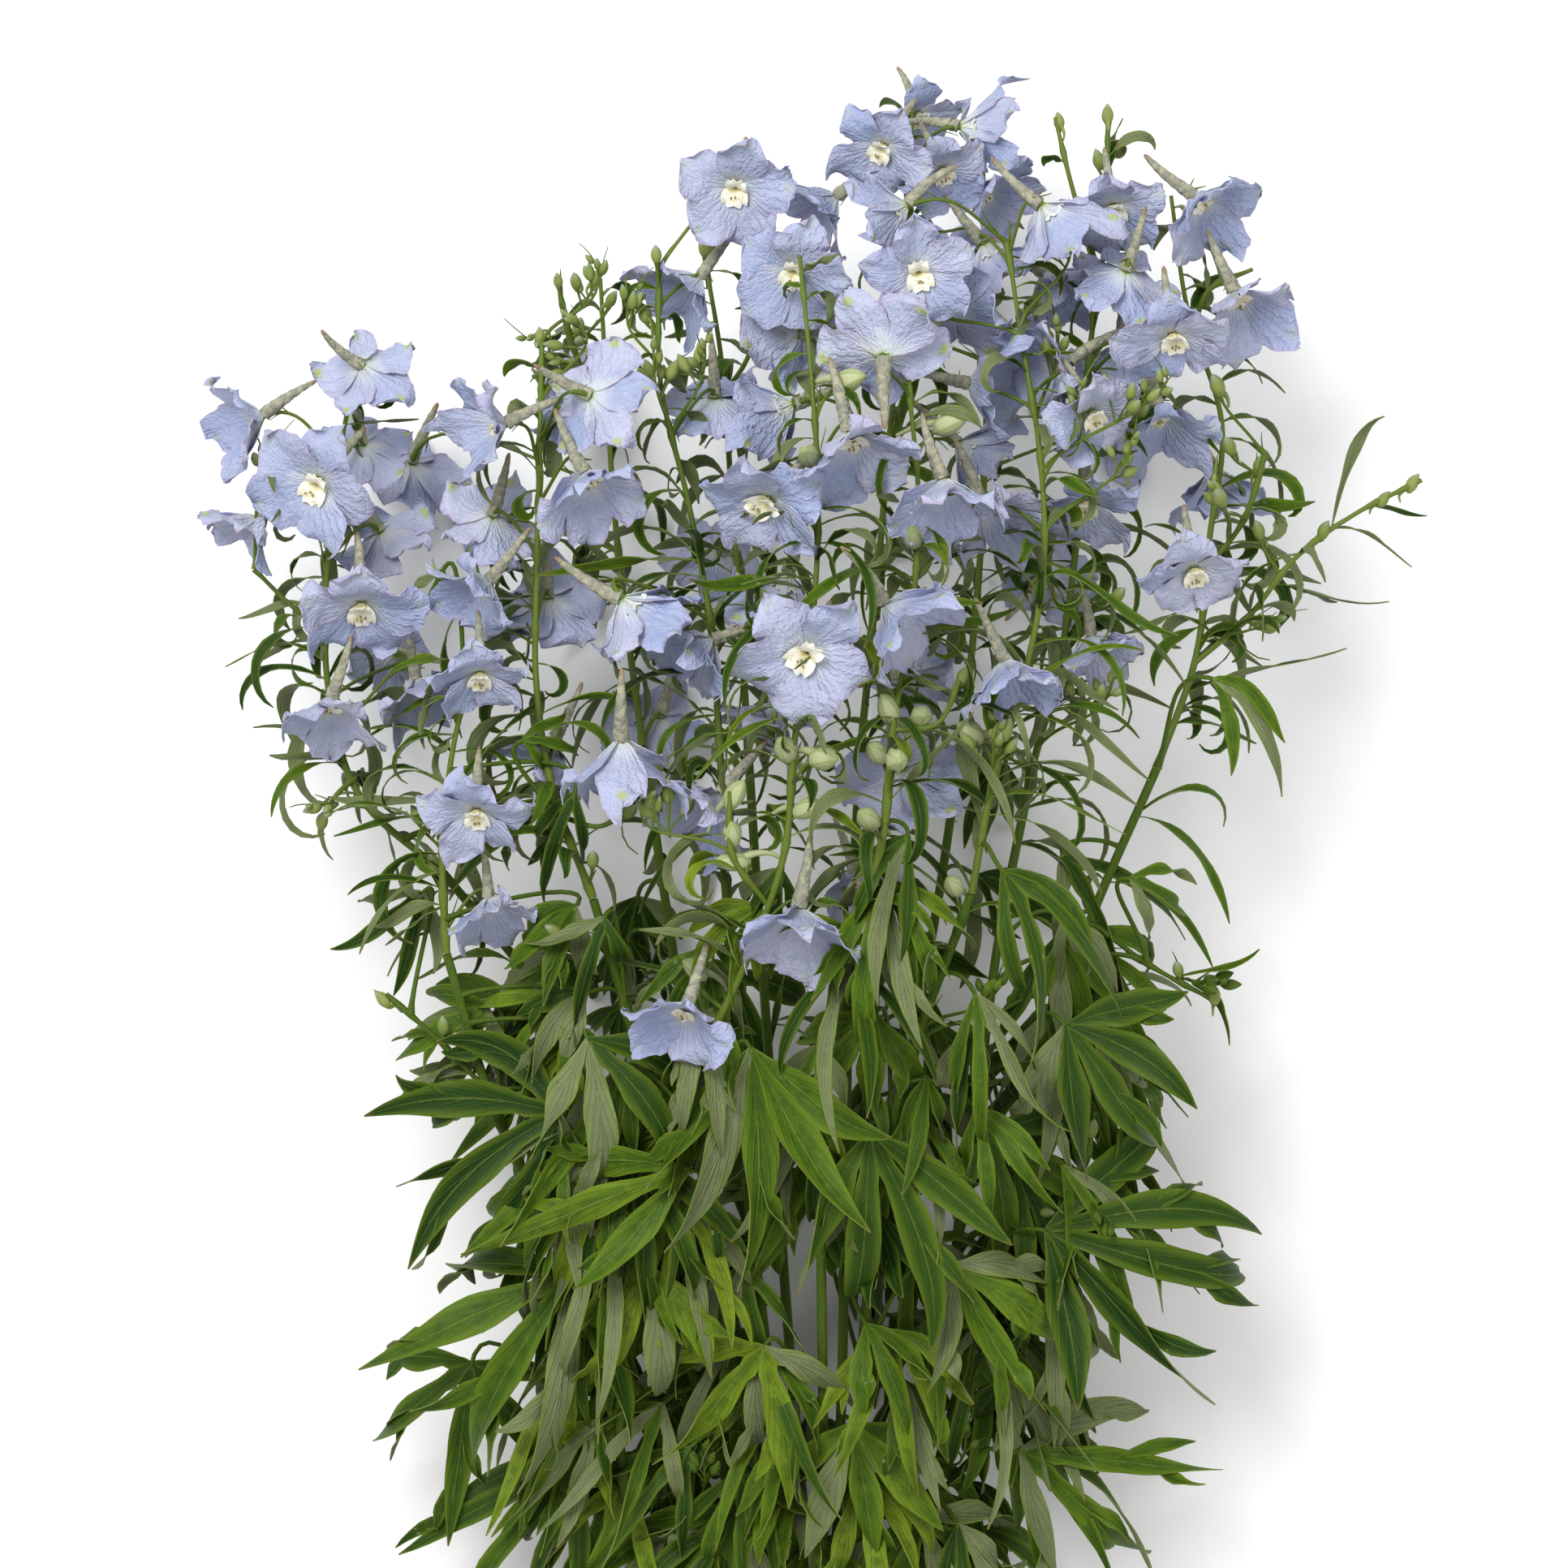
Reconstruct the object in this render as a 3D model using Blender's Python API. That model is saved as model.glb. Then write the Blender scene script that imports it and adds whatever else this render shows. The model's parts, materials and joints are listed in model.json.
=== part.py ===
"""A tied bunch of thirteen light-blue delphinium stems, lying on a surface.

The flowers point to +Y, the cut ends to -Y, and the side of the bunch that is on show looks up (+Z).
All sizes are in metres, and the origin lies on the surface, under the middle of the bunch.
"""

import math
import random

import bmesh
import bpy
import numpy as np
from mathutils import Vector
from mathutils.bvhtree import BVHTree

# Driving dimensions
PX = 0.00032  # one pixel of the reference view, on the bunch
MIDDLE_PX = (1010, 1294)
TIE_PX = 2290
CUT_PX = 2530
STEM_RADIUS = 0.0024
RACHIS_RADIUS = 0.0019
TIP_RADIUS = 0.0010
BRANCH_RADIUS = 0.0014
STALK_RADIUS = 0.0008
SPUR_RADIUS = 0.0014
CALYX = 0.11  # half the calyx's width, as a share of the sepal's length
LEAF_STALK_RADIUS = 0.0010
SEPAL_THICKNESS = 0.0007
LEAF_THICKNESS = 0.0008
TIE_WIDTH = 0.010
TIE_WALL = 0.0014
TIE_GAP = 0.0007
TIE_CORNER = 0.45  # its corner's radius, as a share of half its height
STEM_PITCH = 0.0055
ROW_PITCH = 0.0050
JOINT_GAP = 0.0004
CLEARANCE = 0.0005
LARGE_BUD = 0.0125
RACHIS_STEP = 0.045
STEM_STEP = 0.062
BRANCH_STEP = 0.028
SEED = 7

# How high the bunch's middle lies, and how far it reaches above and below that, down its length
STATIONS_PX = (108, 300, 500, 1000, 1300, 1600, 1930, 2150, TIE_PX, CUT_PX)
MIDDLE_Z = (0.085, 0.096, 0.100, 0.100, 0.090, 0.070, 0.040, 0.018, 0.0095, 0.0095)
HALF_DEPTH = (0.045, 0.074, 0.092, 0.094, 0.080, 0.056, 0.030, 0.012, 0.005, 0.005)
HALF_WIDTH_PX = 760

# Each stem: layer from -1 (underside) to 1 (top side), place in the tie (column, row), the height where the
# flowering top begins, and its route from the tip down
STEMS = {
    "far_left": (0.15, (-2, 0), 1085, [(440, 430), (415, 560), (400, 700), (402, 850), (440, 980), (543, 1075),
                                       (650, 1200), (740, 1400), (850, 1700), (935, 2000)]),
    "left_low": (0.50, (-1.5, 1), 1190, [(590, 800), (570, 860), (552, 978), (545, 1120), (570, 1270), (640, 1440),
                                         (752, 1660), (890, 1960)]),
    "left_middle": (0.42, (-1, 0), 1110, [(668, 420), (665, 560), (662, 700), (660, 800), (668, 920), (703, 1039),
                                          (750, 1160), (810, 1380), (890, 1650), (965, 1980)]),
    "left_back": (-0.72, (-1.5, -1), 930, [(735, 330), (742, 460), (752, 620), (772, 800), (800, 1000), (845, 1300),
                                           (905, 1650), (965, 2000)]),
    "middle_left": (-0.10, (0, 0), 900, [(862, 285), (881, 365), (890, 470), (902, 620), (915, 820), (930, 1060),
                                         (950, 1350), (975, 1700), (1000, 2000)]),
    "thick": (0.48, (-0.5, 1), 1060, [(812, 330), (818, 518), (850, 625), (872, 740), (885, 880), (892, 1060),
                                      (905, 1250), (925, 1500), (960, 1800), (990, 2050)]),
    "spike": (0.10, (1, 0), 930, [(1125, 125), (1118, 300), (1100, 500), (1078, 750), (1055, 1000), (1045, 1300),
                                  (1040, 1650), (1030, 2000)]),
    "front": (0.85, (-2.5, 1), 1330, [(985, 320), (1000, 480), (1008, 650), (995, 820), (970, 960), (966, 1050),
                                      (946, 1136), (893, 1232), (843, 1350), (832, 1498), (798, 1600),
                                      (765, 1720), (785, 1930), (900, 2140)]),
    "front_low": (0.80, (0.5, 1), 1180, [(1118, 480), (1130, 620), (1122, 760), (1100, 880), (1092, 993),
                                         (1071, 1093), (1020, 1211), (1010, 1420), (1014, 1648), (1015, 1950)]),
    "front_right": (0.62, (1.5, 1), 1110, [(1240, 300), (1262, 450), (1285, 620), (1275, 780), (1235, 910),
                                           (1212, 1010), (1190, 1130), (1160, 1240), (1110, 1330), (1078, 1480),
                                           (1066, 1700), (1052, 1980)]),
    "right": (0.20, (1.5, -1), 950, [(1368, 140), (1365, 300), (1348, 398), (1338, 505), (1330, 640), (1310, 800),
                                     (1270, 960), (1225, 1200), (1195, 1450), (1160, 1650), (1120, 1830),
                                     (1075, 2060)]),
    "far_right": (0.05, (2, 0), 950, [(1447, 235), (1462, 360), (1500, 480), (1516, 590), (1486, 690), (1476, 813),
                                      (1428, 947), (1378, 1060), (1322, 1200), (1279, 1350), (1225, 1560),
                                      (1158, 1830), (1098, 2060)]),
    "back": (-0.74, (0.5, -1), 850, [(1215, 160), (1222, 400), (1212, 700), (1178, 1000), (1120, 1350),
                                     (1070, 1700), (1035, 2000)]),
}

# Side branches, each from the stem named out to its tip, with the layer of the tip
BRANCHES = [
    ("far_right", 0.30, [(1477, 818), (1525, 775), (1570, 725), (1600, 685), (1650, 650), (1700, 612), (1755, 590)]),
    ("far_right", 0.40, [(1462, 400), (1500, 345), (1545, 330)]),
    ("far_right", 0.30, [(1345, 1140), (1385, 1180), (1440, 1195), (1500, 1235)]),
    ("far_right", 0.30, [(1484, 700), (1530, 650), (1545, 600), (1560, 560)]),
    ("right", 0.40, [(1362, 330), (1330, 250), (1308, 190), (1302, 140)]),
    ("right", 0.50, [(1178, 1560), (1240, 1498), (1320, 1462), (1352, 1420), (1350, 1370)]),
    ("front_low", 0.85, [(1096, 900), (1130, 905), (1165, 880), (1180, 840)]),
    ("front", 0.95, [(950, 1120), (912, 1070), (893, 1020), (900, 975)]),
    ("front", 0.70, [(893, 1232), (862, 1215), (846, 1180)]),
    ("left_middle", 0.50, [(690, 1010), (725, 1020), (760, 1010), (785, 985)]),
    ("left_low", 0.50, [(600, 1350), (556, 1300), (520, 1262), (475, 1225)]),
    ("far_left", 0.40, [(430, 960), (408, 985), (395, 1010)]),
    ("far_left", 0.25, [(405, 780), (350, 740), (310, 700)]),
    ("left_back", -0.10, [(745, 520), (715, 450), (690, 380), (683, 335)]),
    ("middle_left", 0.20, [(890, 480), (925, 430), (940, 375)]),
    ("back", -0.20, [(1190, 930), (1212, 915), (1228, 890)]),
]

# Florets: place, layer, the way the flower faces (turn in the view, lift towards the viewer), the way its
# spur points in the view, and the sepal's length in millimetres
FLORETS = [
    (450, 455, 0.50, 300, -50, 170, 20), (445, 548, 0.10, 270, -40, 100, 21), (297, 520, 0.50, 200, 17, 30, 21),
    (390, 600, 0.80, 230, 55, 60, 26), (297, 655, 0.30, 225, 12, 45, 20), (470, 660, -0.10, 300, -35, 120, 21),
    (445, 752, 0.75, 270, 37, 90, 25), (405, 888, 0.65, 265, 24, 75, 22), (518, 860, 0.20, 290, 27, 100, 20),
    (594, 838, 0.85, 270, 35, 90, 21), (590, 1006, 0.90, 265, 40, 90, 22), (606, 1130, 0.60, 280, 20, 95, 19),
    (598, 530, 0.85, 190, 24, 25, 22), (737, 495, 0.90, 340, -48, 155, 23), (608, 640, 0.50, 250, -45, 70, 22),
    (733, 612, 0.95, 290, 30, 120, 23), (585, 737, 0.75, 225, 24, 50, 22), (672, 745, 0.10, 270, -40, 90, 23),
    (790, 765, 0.90, 310, -15, 150, 25), (858, 808, 0.75, 225, 17, 15, 21), (768, 945, 1.00, 270, -5, 92, 25),
    (868, 1000, 0.90, 235, 24, 50, 24), (668, 935, 0.20, 240, 22, 60, 21), (850, 1278, 0.90, 260, 32, 70, 22),
    (978, 1150, 0.95, 265, 26, 80, 25), (1064, 1098, 0.45, 300, 32, 100, 20), (828, 360, 0.55, 230, 17, 50, 21),
    (906, 236, 0.80, 260, 60, 80, 23), (880, 500, 0.30, 270, -35, 90, 22), (1132, 143, 0.10, 300, 37, 100, 18),
    (1208, 152, 0.40, 0, -25, 170, 20), (1085, 186, 0.90, 240, 45, 60, 21), (1162, 208, 0.45, 300, 42, 110, 19),
    (996, 256, 0.70, 215, 16, 35, 22), (1090, 268, 1.00, 200, -8, 35, 21), (1218, 232, 0.10, 330, 32, 150, 21),
    (1232, 292, 0.50, 300, -20, 120, 21), (976, 336, 0.90, 250, 60, 70, 23), (1114, 338, 0.85, 290, 60, 100, 23),
    (972, 402, 0.55, 170, -48, 340, 25), (1168, 388, 0.70, 40, -42, 215, 23), (1085, 432, 1.00, 90, -48, 270, 26),
    (1065, 560, 0.95, 280, 24, 105, 26), (945, 505, 0.40, 200, -15, 20, 23), (1222, 478, 0.50, 350, 17, 170, 22),
    (1206, 560, 0.10, 330, -20, 140, 22), (1222, 645, 0.55, 300, 26, 110, 23), (945, 632, 0.95, 240, 45, 35, 26),
    (1150, 642, 0.80, 290, 32, 110, 23), (1124, 756, 0.90, 315, 20, 125, 24), (985, 820, 1.00, 260, 60, 50, 27),
    (960, 735, 0.30, 250, -20, 70, 23), (938, 892, 0.40, 240, 17, 60, 21), (1112, 958, 0.50, 280, -40, 100, 25),
    (1264, 842, 0.60, 290, 24, 110, 22), (1306, 268, 0.80, 310, -28, 140, 22), (1372, 262, 0.60, 280, 45, 100, 21),
    (1382, 345, 0.75, 250, -38, 70, 22), (1492, 262, 0.70, 310, 30, 145, 23), (1300, 362, 0.30, 310, 17, 140, 21),
    (1530, 386, 0.80, 290, 34, 115, 23), (1446, 420, 0.80, 275, 38, 100, 23), (1375, 442, 0.10, 250, 17, 80, 21),
    (1432, 532, 0.40, 280, 24, 100, 22), (1512, 596, 0.10, 290, -20, 110, 21), (1470, 710, 0.80, 280, 35, 100, 22),
    (1286, 460, 0.60, 200, 24, 40, 21), (1342, 525, 0.80, 300, 34, 110, 21), (1332, 632, 0.50, 270, 32, 90, 21),
    (1352, 808, 0.40, 290, 17, 100, 20),
]

# Florets that only the underside shows: place, turn of the face in the view and sepal length
FEET = [(600, 640, 250, 22), (1400, 520, 300, 22), (1010, 380, 270, 22)]
UNDER_FLORETS = [
    (480, 560, 23), (470, 800, 21), (700, 480, 22), (800, 880, 22), (880, 680, 23), (1190, 330, 22),
    (1300, 700, 22), (1130, 820, 22),
]

# Buds: place, layer, length in millimetres
BUDS = [
    (1305, 132, 0.40, 8), (1368, 120, 0.20, 9), (1352, 178, 0.30, 9), (1440, 380, 0.9, 10),
    (1492, 462, 0.60, 11), (1508, 540, 0.60, 10), (1556, 560, 0.30, 9), (1495, 606, 0.80, 12),
    (1548, 640, 0.30, 9), (1385, 725, 0.50, 9), (1190, 822, 0.85, 9), (683, 330, -0.10, 7), (735, 322, -0.40, 8),
    (757, 350, -0.30, 8), (716, 388, -0.20, 9), (664, 402, 0.40, 8), (788, 372, 0.40, 10),
    (705, 440, 0.30, 10), (868, 285, 0.10, 11), (820, 318, 0.50, 8), (940, 368, 0.25, 8),
    (1120, 655, 1.0, 16), (1190, 520, 0.90, 16), (1065, 470, 1.05, 17), (1000, 556, 1.0, 16), (1078, 850, 0.95, 16),
    (1136, 882, 0.95, 16), (1172, 888, 0.85, 16), (960, 912, 1.0, 17), (918, 962, 1.0, 15), (1024, 922, 1.0, 17),
    (1068, 918, 0.95, 15), (1110, 950, 0.95, 16), (1058, 1000, 0.95, 16), (1012, 990, 0.95, 15),
    (902, 1012, 1.0, 14), (880, 1062, 0.95, 15), (842, 1182, 0.80, 14), (1166, 1082, 0.75, 14), (785, 992, 0.60, 9),
    (732, 1048, 0.60, 9), (1226, 900, 0.20, 9), (1405, 492, 0.50, 8), (1752, 582, 0.30, 9), (1716, 604, 0.30, 8),
    (1640, 640, 0.30, 9), (1575, 760, 0.25, 9), (1372, 846, 0.30, 9), (1450, 1185, 0.35, 8),
    (1500, 1216, 0.35, 9), (398, 1000, 0.45, 9), (506, 992, 0.40, 9), (528, 1052, 0.40, 10),
    (460, 1222, 0.50, 9), (545, 1252, 0.60, 9), (672, 1140, 0.60, 10),
    (1350, 1380, 0.55, 9), (1302, 1498, 0.55, 8), (1362, 1490, 0.45, 9), (590, 792, 0.60, 9), (446, 420, 0.20, 8),
]

# Leaves: place of the hub, layer, the way the middle lobe points in the view and its lift towards the viewer,
# number of lobes, the fan that they spread over, length and width of the middle lobe in millimetres, and droop
LEAVES = [
    (690, 1372, 0.75, 205, 10, 5, 170, 88, 17, 0.25), (705, 1572, 0.80, 232, 8, 5, 130, 104, 18, 0.15),
    (575, 1690, 0.20, 262, 5, 5, 190, 74, 13, 0.20), (1290, 1518, 0.70, 345, 10, 5, 120, 108, 18, 0.12),
    (1172, 1560, 0.90, 318, 12, 4, 100, 74, 16, 0.20), (1312, 1262, 0.70, 310, 8, 5, 140, 72, 16, 0.25),
    (1262, 1800, 0.50, 338, 6, 4, 110, 88, 14, 0.10), (1250, 1700, 0.30, 285, 5, 4, 120, 48, 12, 0.20),
    (925, 1290, 0.85, 276, 6, 5, 90, 98, 18, 0.10), (1072, 1392, 0.95, 284, 6, 4, 90, 104, 17, 0.15),
    (728, 1280, 0.85, 296, 10, 4, 110, 76, 15, 0.15), (850, 1440, 0.95, 196, 8, 3, 60, 96, 15, 0.18),
    (596, 1232, 0.60, 232, 5, 4, 130, 50, 11, 0.25), (1085, 1250, 0.60, 250, 8, 4, 110, 60, 14, 0.20),
    (800, 1560, 0.95, 262, 8, 4, 100, 72, 15, 0.20), (1050, 1760, 0.95, 282, 6, 5, 130, 66, 15, 0.20),
    (652, 905, 0.50, 10, 10, 3, 90, 34, 5, 0.60), (545, 700, 0.30, 245, 10, 3, 80, 32, 5, 0.30),
    (520, 1100, 0.30, 235, 5, 4, 120, 48, 7, 0.30), (1492, 838, 0.50, 335, 8, 3, 70, 58, 7, 0.90),
    (745, 1130, 0.60, 250, 8, 3, 100, 48, 8, 0.30), (1392, 1082, 0.50, 345, 8, 3, 90, 44, 7, 0.40),
    (640, 1262, 0.10, 205, 5, 5, 150, 60, 12, 0.25), (820, 1740, 0.60, 250, 5, 5, 150, 74, 15, 0.15),
    (950, 1640, 0.40, 265, 5, 4, 160, 70, 15, 0.15), (1140, 1640, 0.30, 300, 5, 4, 150, 70, 15, 0.15),
    (900, 1880, 0.50, 262, 4, 5, 150, 62, 14, 0.10), (1130, 1880, 0.40, 292, 4, 5, 150, 62, 14, 0.10),
    (1000, 1450, 0.20, 265, 5, 4, 160, 70, 15, 0.15), (1215, 1400, 0.30, 310, 5, 4, 150, 66, 15, 0.15),
    (760, 1450, -0.30, 225, -5, 4, 160, 72, 15, 0.15), (1240, 1300, -0.40, 315, -5, 4, 160, 66, 15, 0.20),
    (900, 1200, -0.50, 260, -5, 4, 170, 66, 15, 0.15), (1090, 1180, -0.60, 280, -5, 4, 170, 66, 15, 0.15),
]

# The leaf pressed flat on the surface under the bunch: hub, lobes, fan, length and width in millimetres
FLAT_LEAF = (1015, 1480, 6, 250, 62, 16)

SEPALS = 5
NOTCH = 0.62
SHOULDER_DEG = 16
OPEN_CUP = 0.24  # the depth of an open floret's bowl, as a share of its sepals' length
NODDING_CUP = 0.72
HALF_SEPAL_DEG = 36
WIDEST = 0.5  # how far along its length a leaf's lobe is widest
PETAL_BLUE = (0.42, 0.53, 0.78, 1)
STEM_GREEN = (0.10, 0.22, 0.03, 1)
TIE_COLOUR = (0.55, 0.42, 0.22, 1)


def unit(vector):
    return vector / np.linalg.norm(vector)


def depth(x_px, y_px, layer):
    """Height above the surface at a place of the view, for a layer from -1 (underside) to 1 (top side)."""
    out = (x_px - MIDDLE_PX[0]) / HALF_WIDTH_PX
    roundness = math.sqrt(max(1 - out * out, 0.25))
    middle = np.interp(y_px, STATIONS_PX, MIDDLE_Z)
    return middle + layer * roundness * np.interp(y_px, STATIONS_PX, HALF_DEPTH)


def place(x_px, y_px, z):
    return np.array([(x_px - MIDDLE_PX[0]) * PX, (MIDDLE_PX[1] - y_px) * PX, z])


def toward(turn_deg, lift_deg):
    turn, lift = math.radians(turn_deg), math.radians(lift_deg)
    return np.array([math.cos(lift) * math.cos(turn), math.cos(lift) * math.sin(turn), math.sin(lift)])


def smooth(points, steps):
    """A smooth curve through the points, with the given number of steps between two of them."""
    points = np.asarray(points, float)
    ends = np.vstack([2 * points[0] - points[1], points, 2 * points[-1] - points[-2]])
    t = (np.arange(steps) / steps)[:, None]
    curve = []
    for a, b, c, d in zip(ends[:-3], ends[1:-2], ends[2:-1], ends[3:]):
        curve.append(0.5 * (2 * b + (c - a) * t + (2 * a - 5 * b + 4 * c - d) * t**2 + (3 * b - a - 3 * c + d) * t**3))
    return np.vstack(curve + [points[-1:]])


def resample(curve, spacing):
    """The same curve with points about the spacing apart."""
    run = np.concatenate([[0], np.cumsum(np.linalg.norm(np.diff(curve, axis=0), axis=1))])
    count = max(int(round(run[-1] / spacing)), 2) + 1
    at = np.linspace(0, run[-1], count)
    return np.stack([np.interp(at, run, curve[:, k]) for k in range(3)], axis=1)


def tube(path, radii, sides, phase=0.0):
    """A closed round bar along the path. A radius of 0 at its end gives a point."""
    path = np.asarray(path, float)
    along = np.gradient(path, axis=0)
    side = unit(np.cross(along[0], (0.31, 0.17, 0.93)))
    points, rings = [], []
    for centre, ahead, radius in zip(path, along, radii):
        ahead = unit(ahead)
        side = unit(side - ahead * side.dot(ahead))
        other = np.cross(ahead, side)
        if radius == 0:
            rings.append([len(points)])
            points.append(centre)
            continue
        rings.append(list(range(len(points), len(points) + sides)))
        for k in range(sides):
            turn = math.tau * k / sides + phase
            points.append(centre + radius * (math.cos(turn) * side + math.sin(turn) * other))
    faces = [rings[0][::-1]]
    for low, high in zip(rings, rings[1:]):
        for k in range(sides):
            nxt = (k + 1) % sides
            if len(high) == 1:
                faces.append([low[k], low[nxt], high[0]])
            else:
                faces.append([low[k], low[nxt], high[nxt], high[k]])
    if len(rings[-1]) > 1:
        faces.append(rings[-1])
    return np.array(points), faces


def thick(top, faces, outline, shift):
    """A closed blade: the faces, the same faces moved by the shift and turned over, and the edge between."""
    count = len(top)
    points = np.vstack([top, top + shift])
    under = [[k + count for k in face[::-1]] for face in faces]
    edge = []
    for a, b in zip(outline, outline[1:] + outline[:1]):
        edge.append([a, a + count, b + count])
        edge.append([a, b + count, b])
    return points, faces + under + edge


def sepal_point(size, cup, lobe, angle_deg, reach):
    """A point of the floret's bowl: right, up (towards the spurred sepal) and forward of its calyx."""
    off = abs(angle_deg) / HALF_SEPAL_DEG
    outline = NOTCH + (1 - NOTCH) * (1 - off**3.2)
    turn = math.radians(90 + 360 / SEPALS * lobe + angle_deg)
    out = size * (1.03 - 0.12 * cup) * reach * outline
    forward = size * ((cup + 0.42) * reach - 0.42 * reach**2 - 0.07 * off * off * reach)
    return np.array([math.cos(turn) * out, math.sin(turn) * out, forward])


def floret_frame(face, spur_turn_deg):
    """The floret's right, up and forward directions, as columns."""
    spur = toward(spur_turn_deg, 0)
    up = spur - face * spur.dot(face)
    if np.linalg.norm(up) < 0.2:
        up = np.array([0.0, 0.0, 1.0]) - face * face[2]
    up = unit(up)
    return np.stack([np.cross(up, face), up, face], axis=1)


def extend(points, faces, ring, centres, radii):
    """Draws a ring of points out along the centres. A radius of 0 at the end gives a point."""
    at = sum(points[k] for k in ring) / len(ring)
    spokes = [unit(points[k] - at) for k in ring]
    ahead = unit(np.cross(spokes[0], spokes[1]))
    for centre, radius in zip(centres, radii):
        way = unit(centre - at)
        turn = Vector(ahead).rotation_difference(Vector(way)).to_matrix()
        spokes = [np.array(turn @ Vector(spoke)) for spoke in spokes]
        at, ahead = centre, way
        fresh = [len(points)] * len(ring) if radius == 0 else [len(points) + k for k in range(len(ring))]
        points.extend([centre] if radius == 0 else [centre + radius * spoke for spoke in spokes])
        for k in range(len(ring)):
            nxt = (k + 1) % len(ring)
            faces.append([ring[k], ring[nxt], fresh[nxt]])
            if radius:
                faces.append([ring[k], fresh[nxt], fresh[k]])
        ring = fresh
    if radii[-1]:
        faces.append(ring)


def floret_mesh(root, calyx, face, frame, size, cup, grow):
    """A floret in one piece, from the root of its stalk to its five sepals and its spur.

    The sepals are one thin bowl with a raised heart. The last faces are the stalk's, and their number follows.
    """
    top = [sepal_point(size + grow, cup, 0, 0, 0) + (0, 0, 0.30 * size)]
    for lobe in range(SEPALS):
        top.append(sepal_point(size + grow, cup, lobe, 0, 0.5))
    for lobe in range(SEPALS):
        for angle in (-SHOULDER_DEG, SHOULDER_DEG, HALF_SEPAL_DEG):
            top.append(sepal_point(size + grow, cup, lobe, angle, 1))
    first, count = 1 + SEPALS, len(top)
    rim = list(range(first, count))
    faces = []
    for lobe in range(SEPALS):
        nxt = (lobe + 1) % SEPALS
        middle, next_middle = 1 + lobe, 1 + nxt
        low, high, notch = (first + 3 * lobe + k for k in range(3))
        faces.append([0, middle, next_middle])
        faces.append([middle, low, high])
        faces.append([middle, high, notch])
        faces.append([middle, notch, next_middle])
        faces.append([next_middle, notch, first + 3 * nxt])
    points = [point + (0, 0, grow) for point in top]
    points += [points[k] - (0, 0, SEPAL_THICKNESS + 2 * grow) for k in rim]
    under = [k - first + count for k in rim]
    for k in range(len(rim)):
        nxt = (k + 1) % len(rim)
        faces.append([rim[k], under[k], under[nxt]])
        faces.append([rim[k], under[nxt], rim[nxt]])
    ring = []
    for turn in range(4):
        ring.append(len(points))
        angle = math.radians(90 + 90 * turn)
        points.append(np.array([math.cos(angle), math.sin(angle), -0.05]) * (CALYX * size + grow))
    quarter = 0
    for k in range(len(rim)):
        nxt = (k + 1) % len(rim)
        faces.append([under[k], ring[quarter], under[nxt]])
        if quarter < 3 and nxt >= 15 * (quarter + 1) // 4 + 1 or nxt == 0 and quarter == 3:
            following = (quarter + 1) % 4
            faces.append([under[nxt], ring[quarter], ring[following]])
            quarter = following
    points = [frame @ point + calyx for point in points]
    spur = [frame @ (np.array(way) * size) + calyx for way in ((0, 0.34, -0.50), (0, 0.50, -1.05))]
    extend(points, faces, [ring[0], ring[3], ring[1]], spur, (SPUR_RADIUS + grow, 0))
    before = len(faces)
    path = stalk_path(root, calyx, face)
    extend(points, faces, [ring[3], ring[2], ring[1]], path[1::-1], (STALK_RADIUS + grow,) * 2)
    return np.array(points), faces, len(faces) - before


def stalk_path(root, calyx, ahead):
    """A flower stalk that leaves its stem upwards and bends over into the way the flower faces."""
    reach = 0.45 * np.linalg.norm(calyx - root)
    lift = root + reach * unit(calyx - root + np.array([0, 0.012, 0]))
    back = calyx - reach * ahead
    t = np.array([0, 0.5, 1])[:, None]
    return (1 - t) ** 3 * root + 3 * (1 - t) ** 2 * t * lift + 3 * (1 - t) * t * t * back + t**3 * calyx


def bud_mesh(root, base, ahead, length, grow):
    """A bud on its stalk, in one piece from the stem to the bud's tip."""
    radius, wide = STALK_RADIUS + grow, 0.24 * length + grow
    neck = radius + 0.06 * length
    bud = [base + ahead * 0.42 * length, base + ahead * length]
    if length < LARGE_BUD:
        return tube([root, base] + bud, (radius, neck, wide, 0), 3, 0.95)
    return tube([*stalk_path(root, base, ahead)] + bud, (radius, radius, neck, wide, 0), 3, 0.95)


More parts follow.
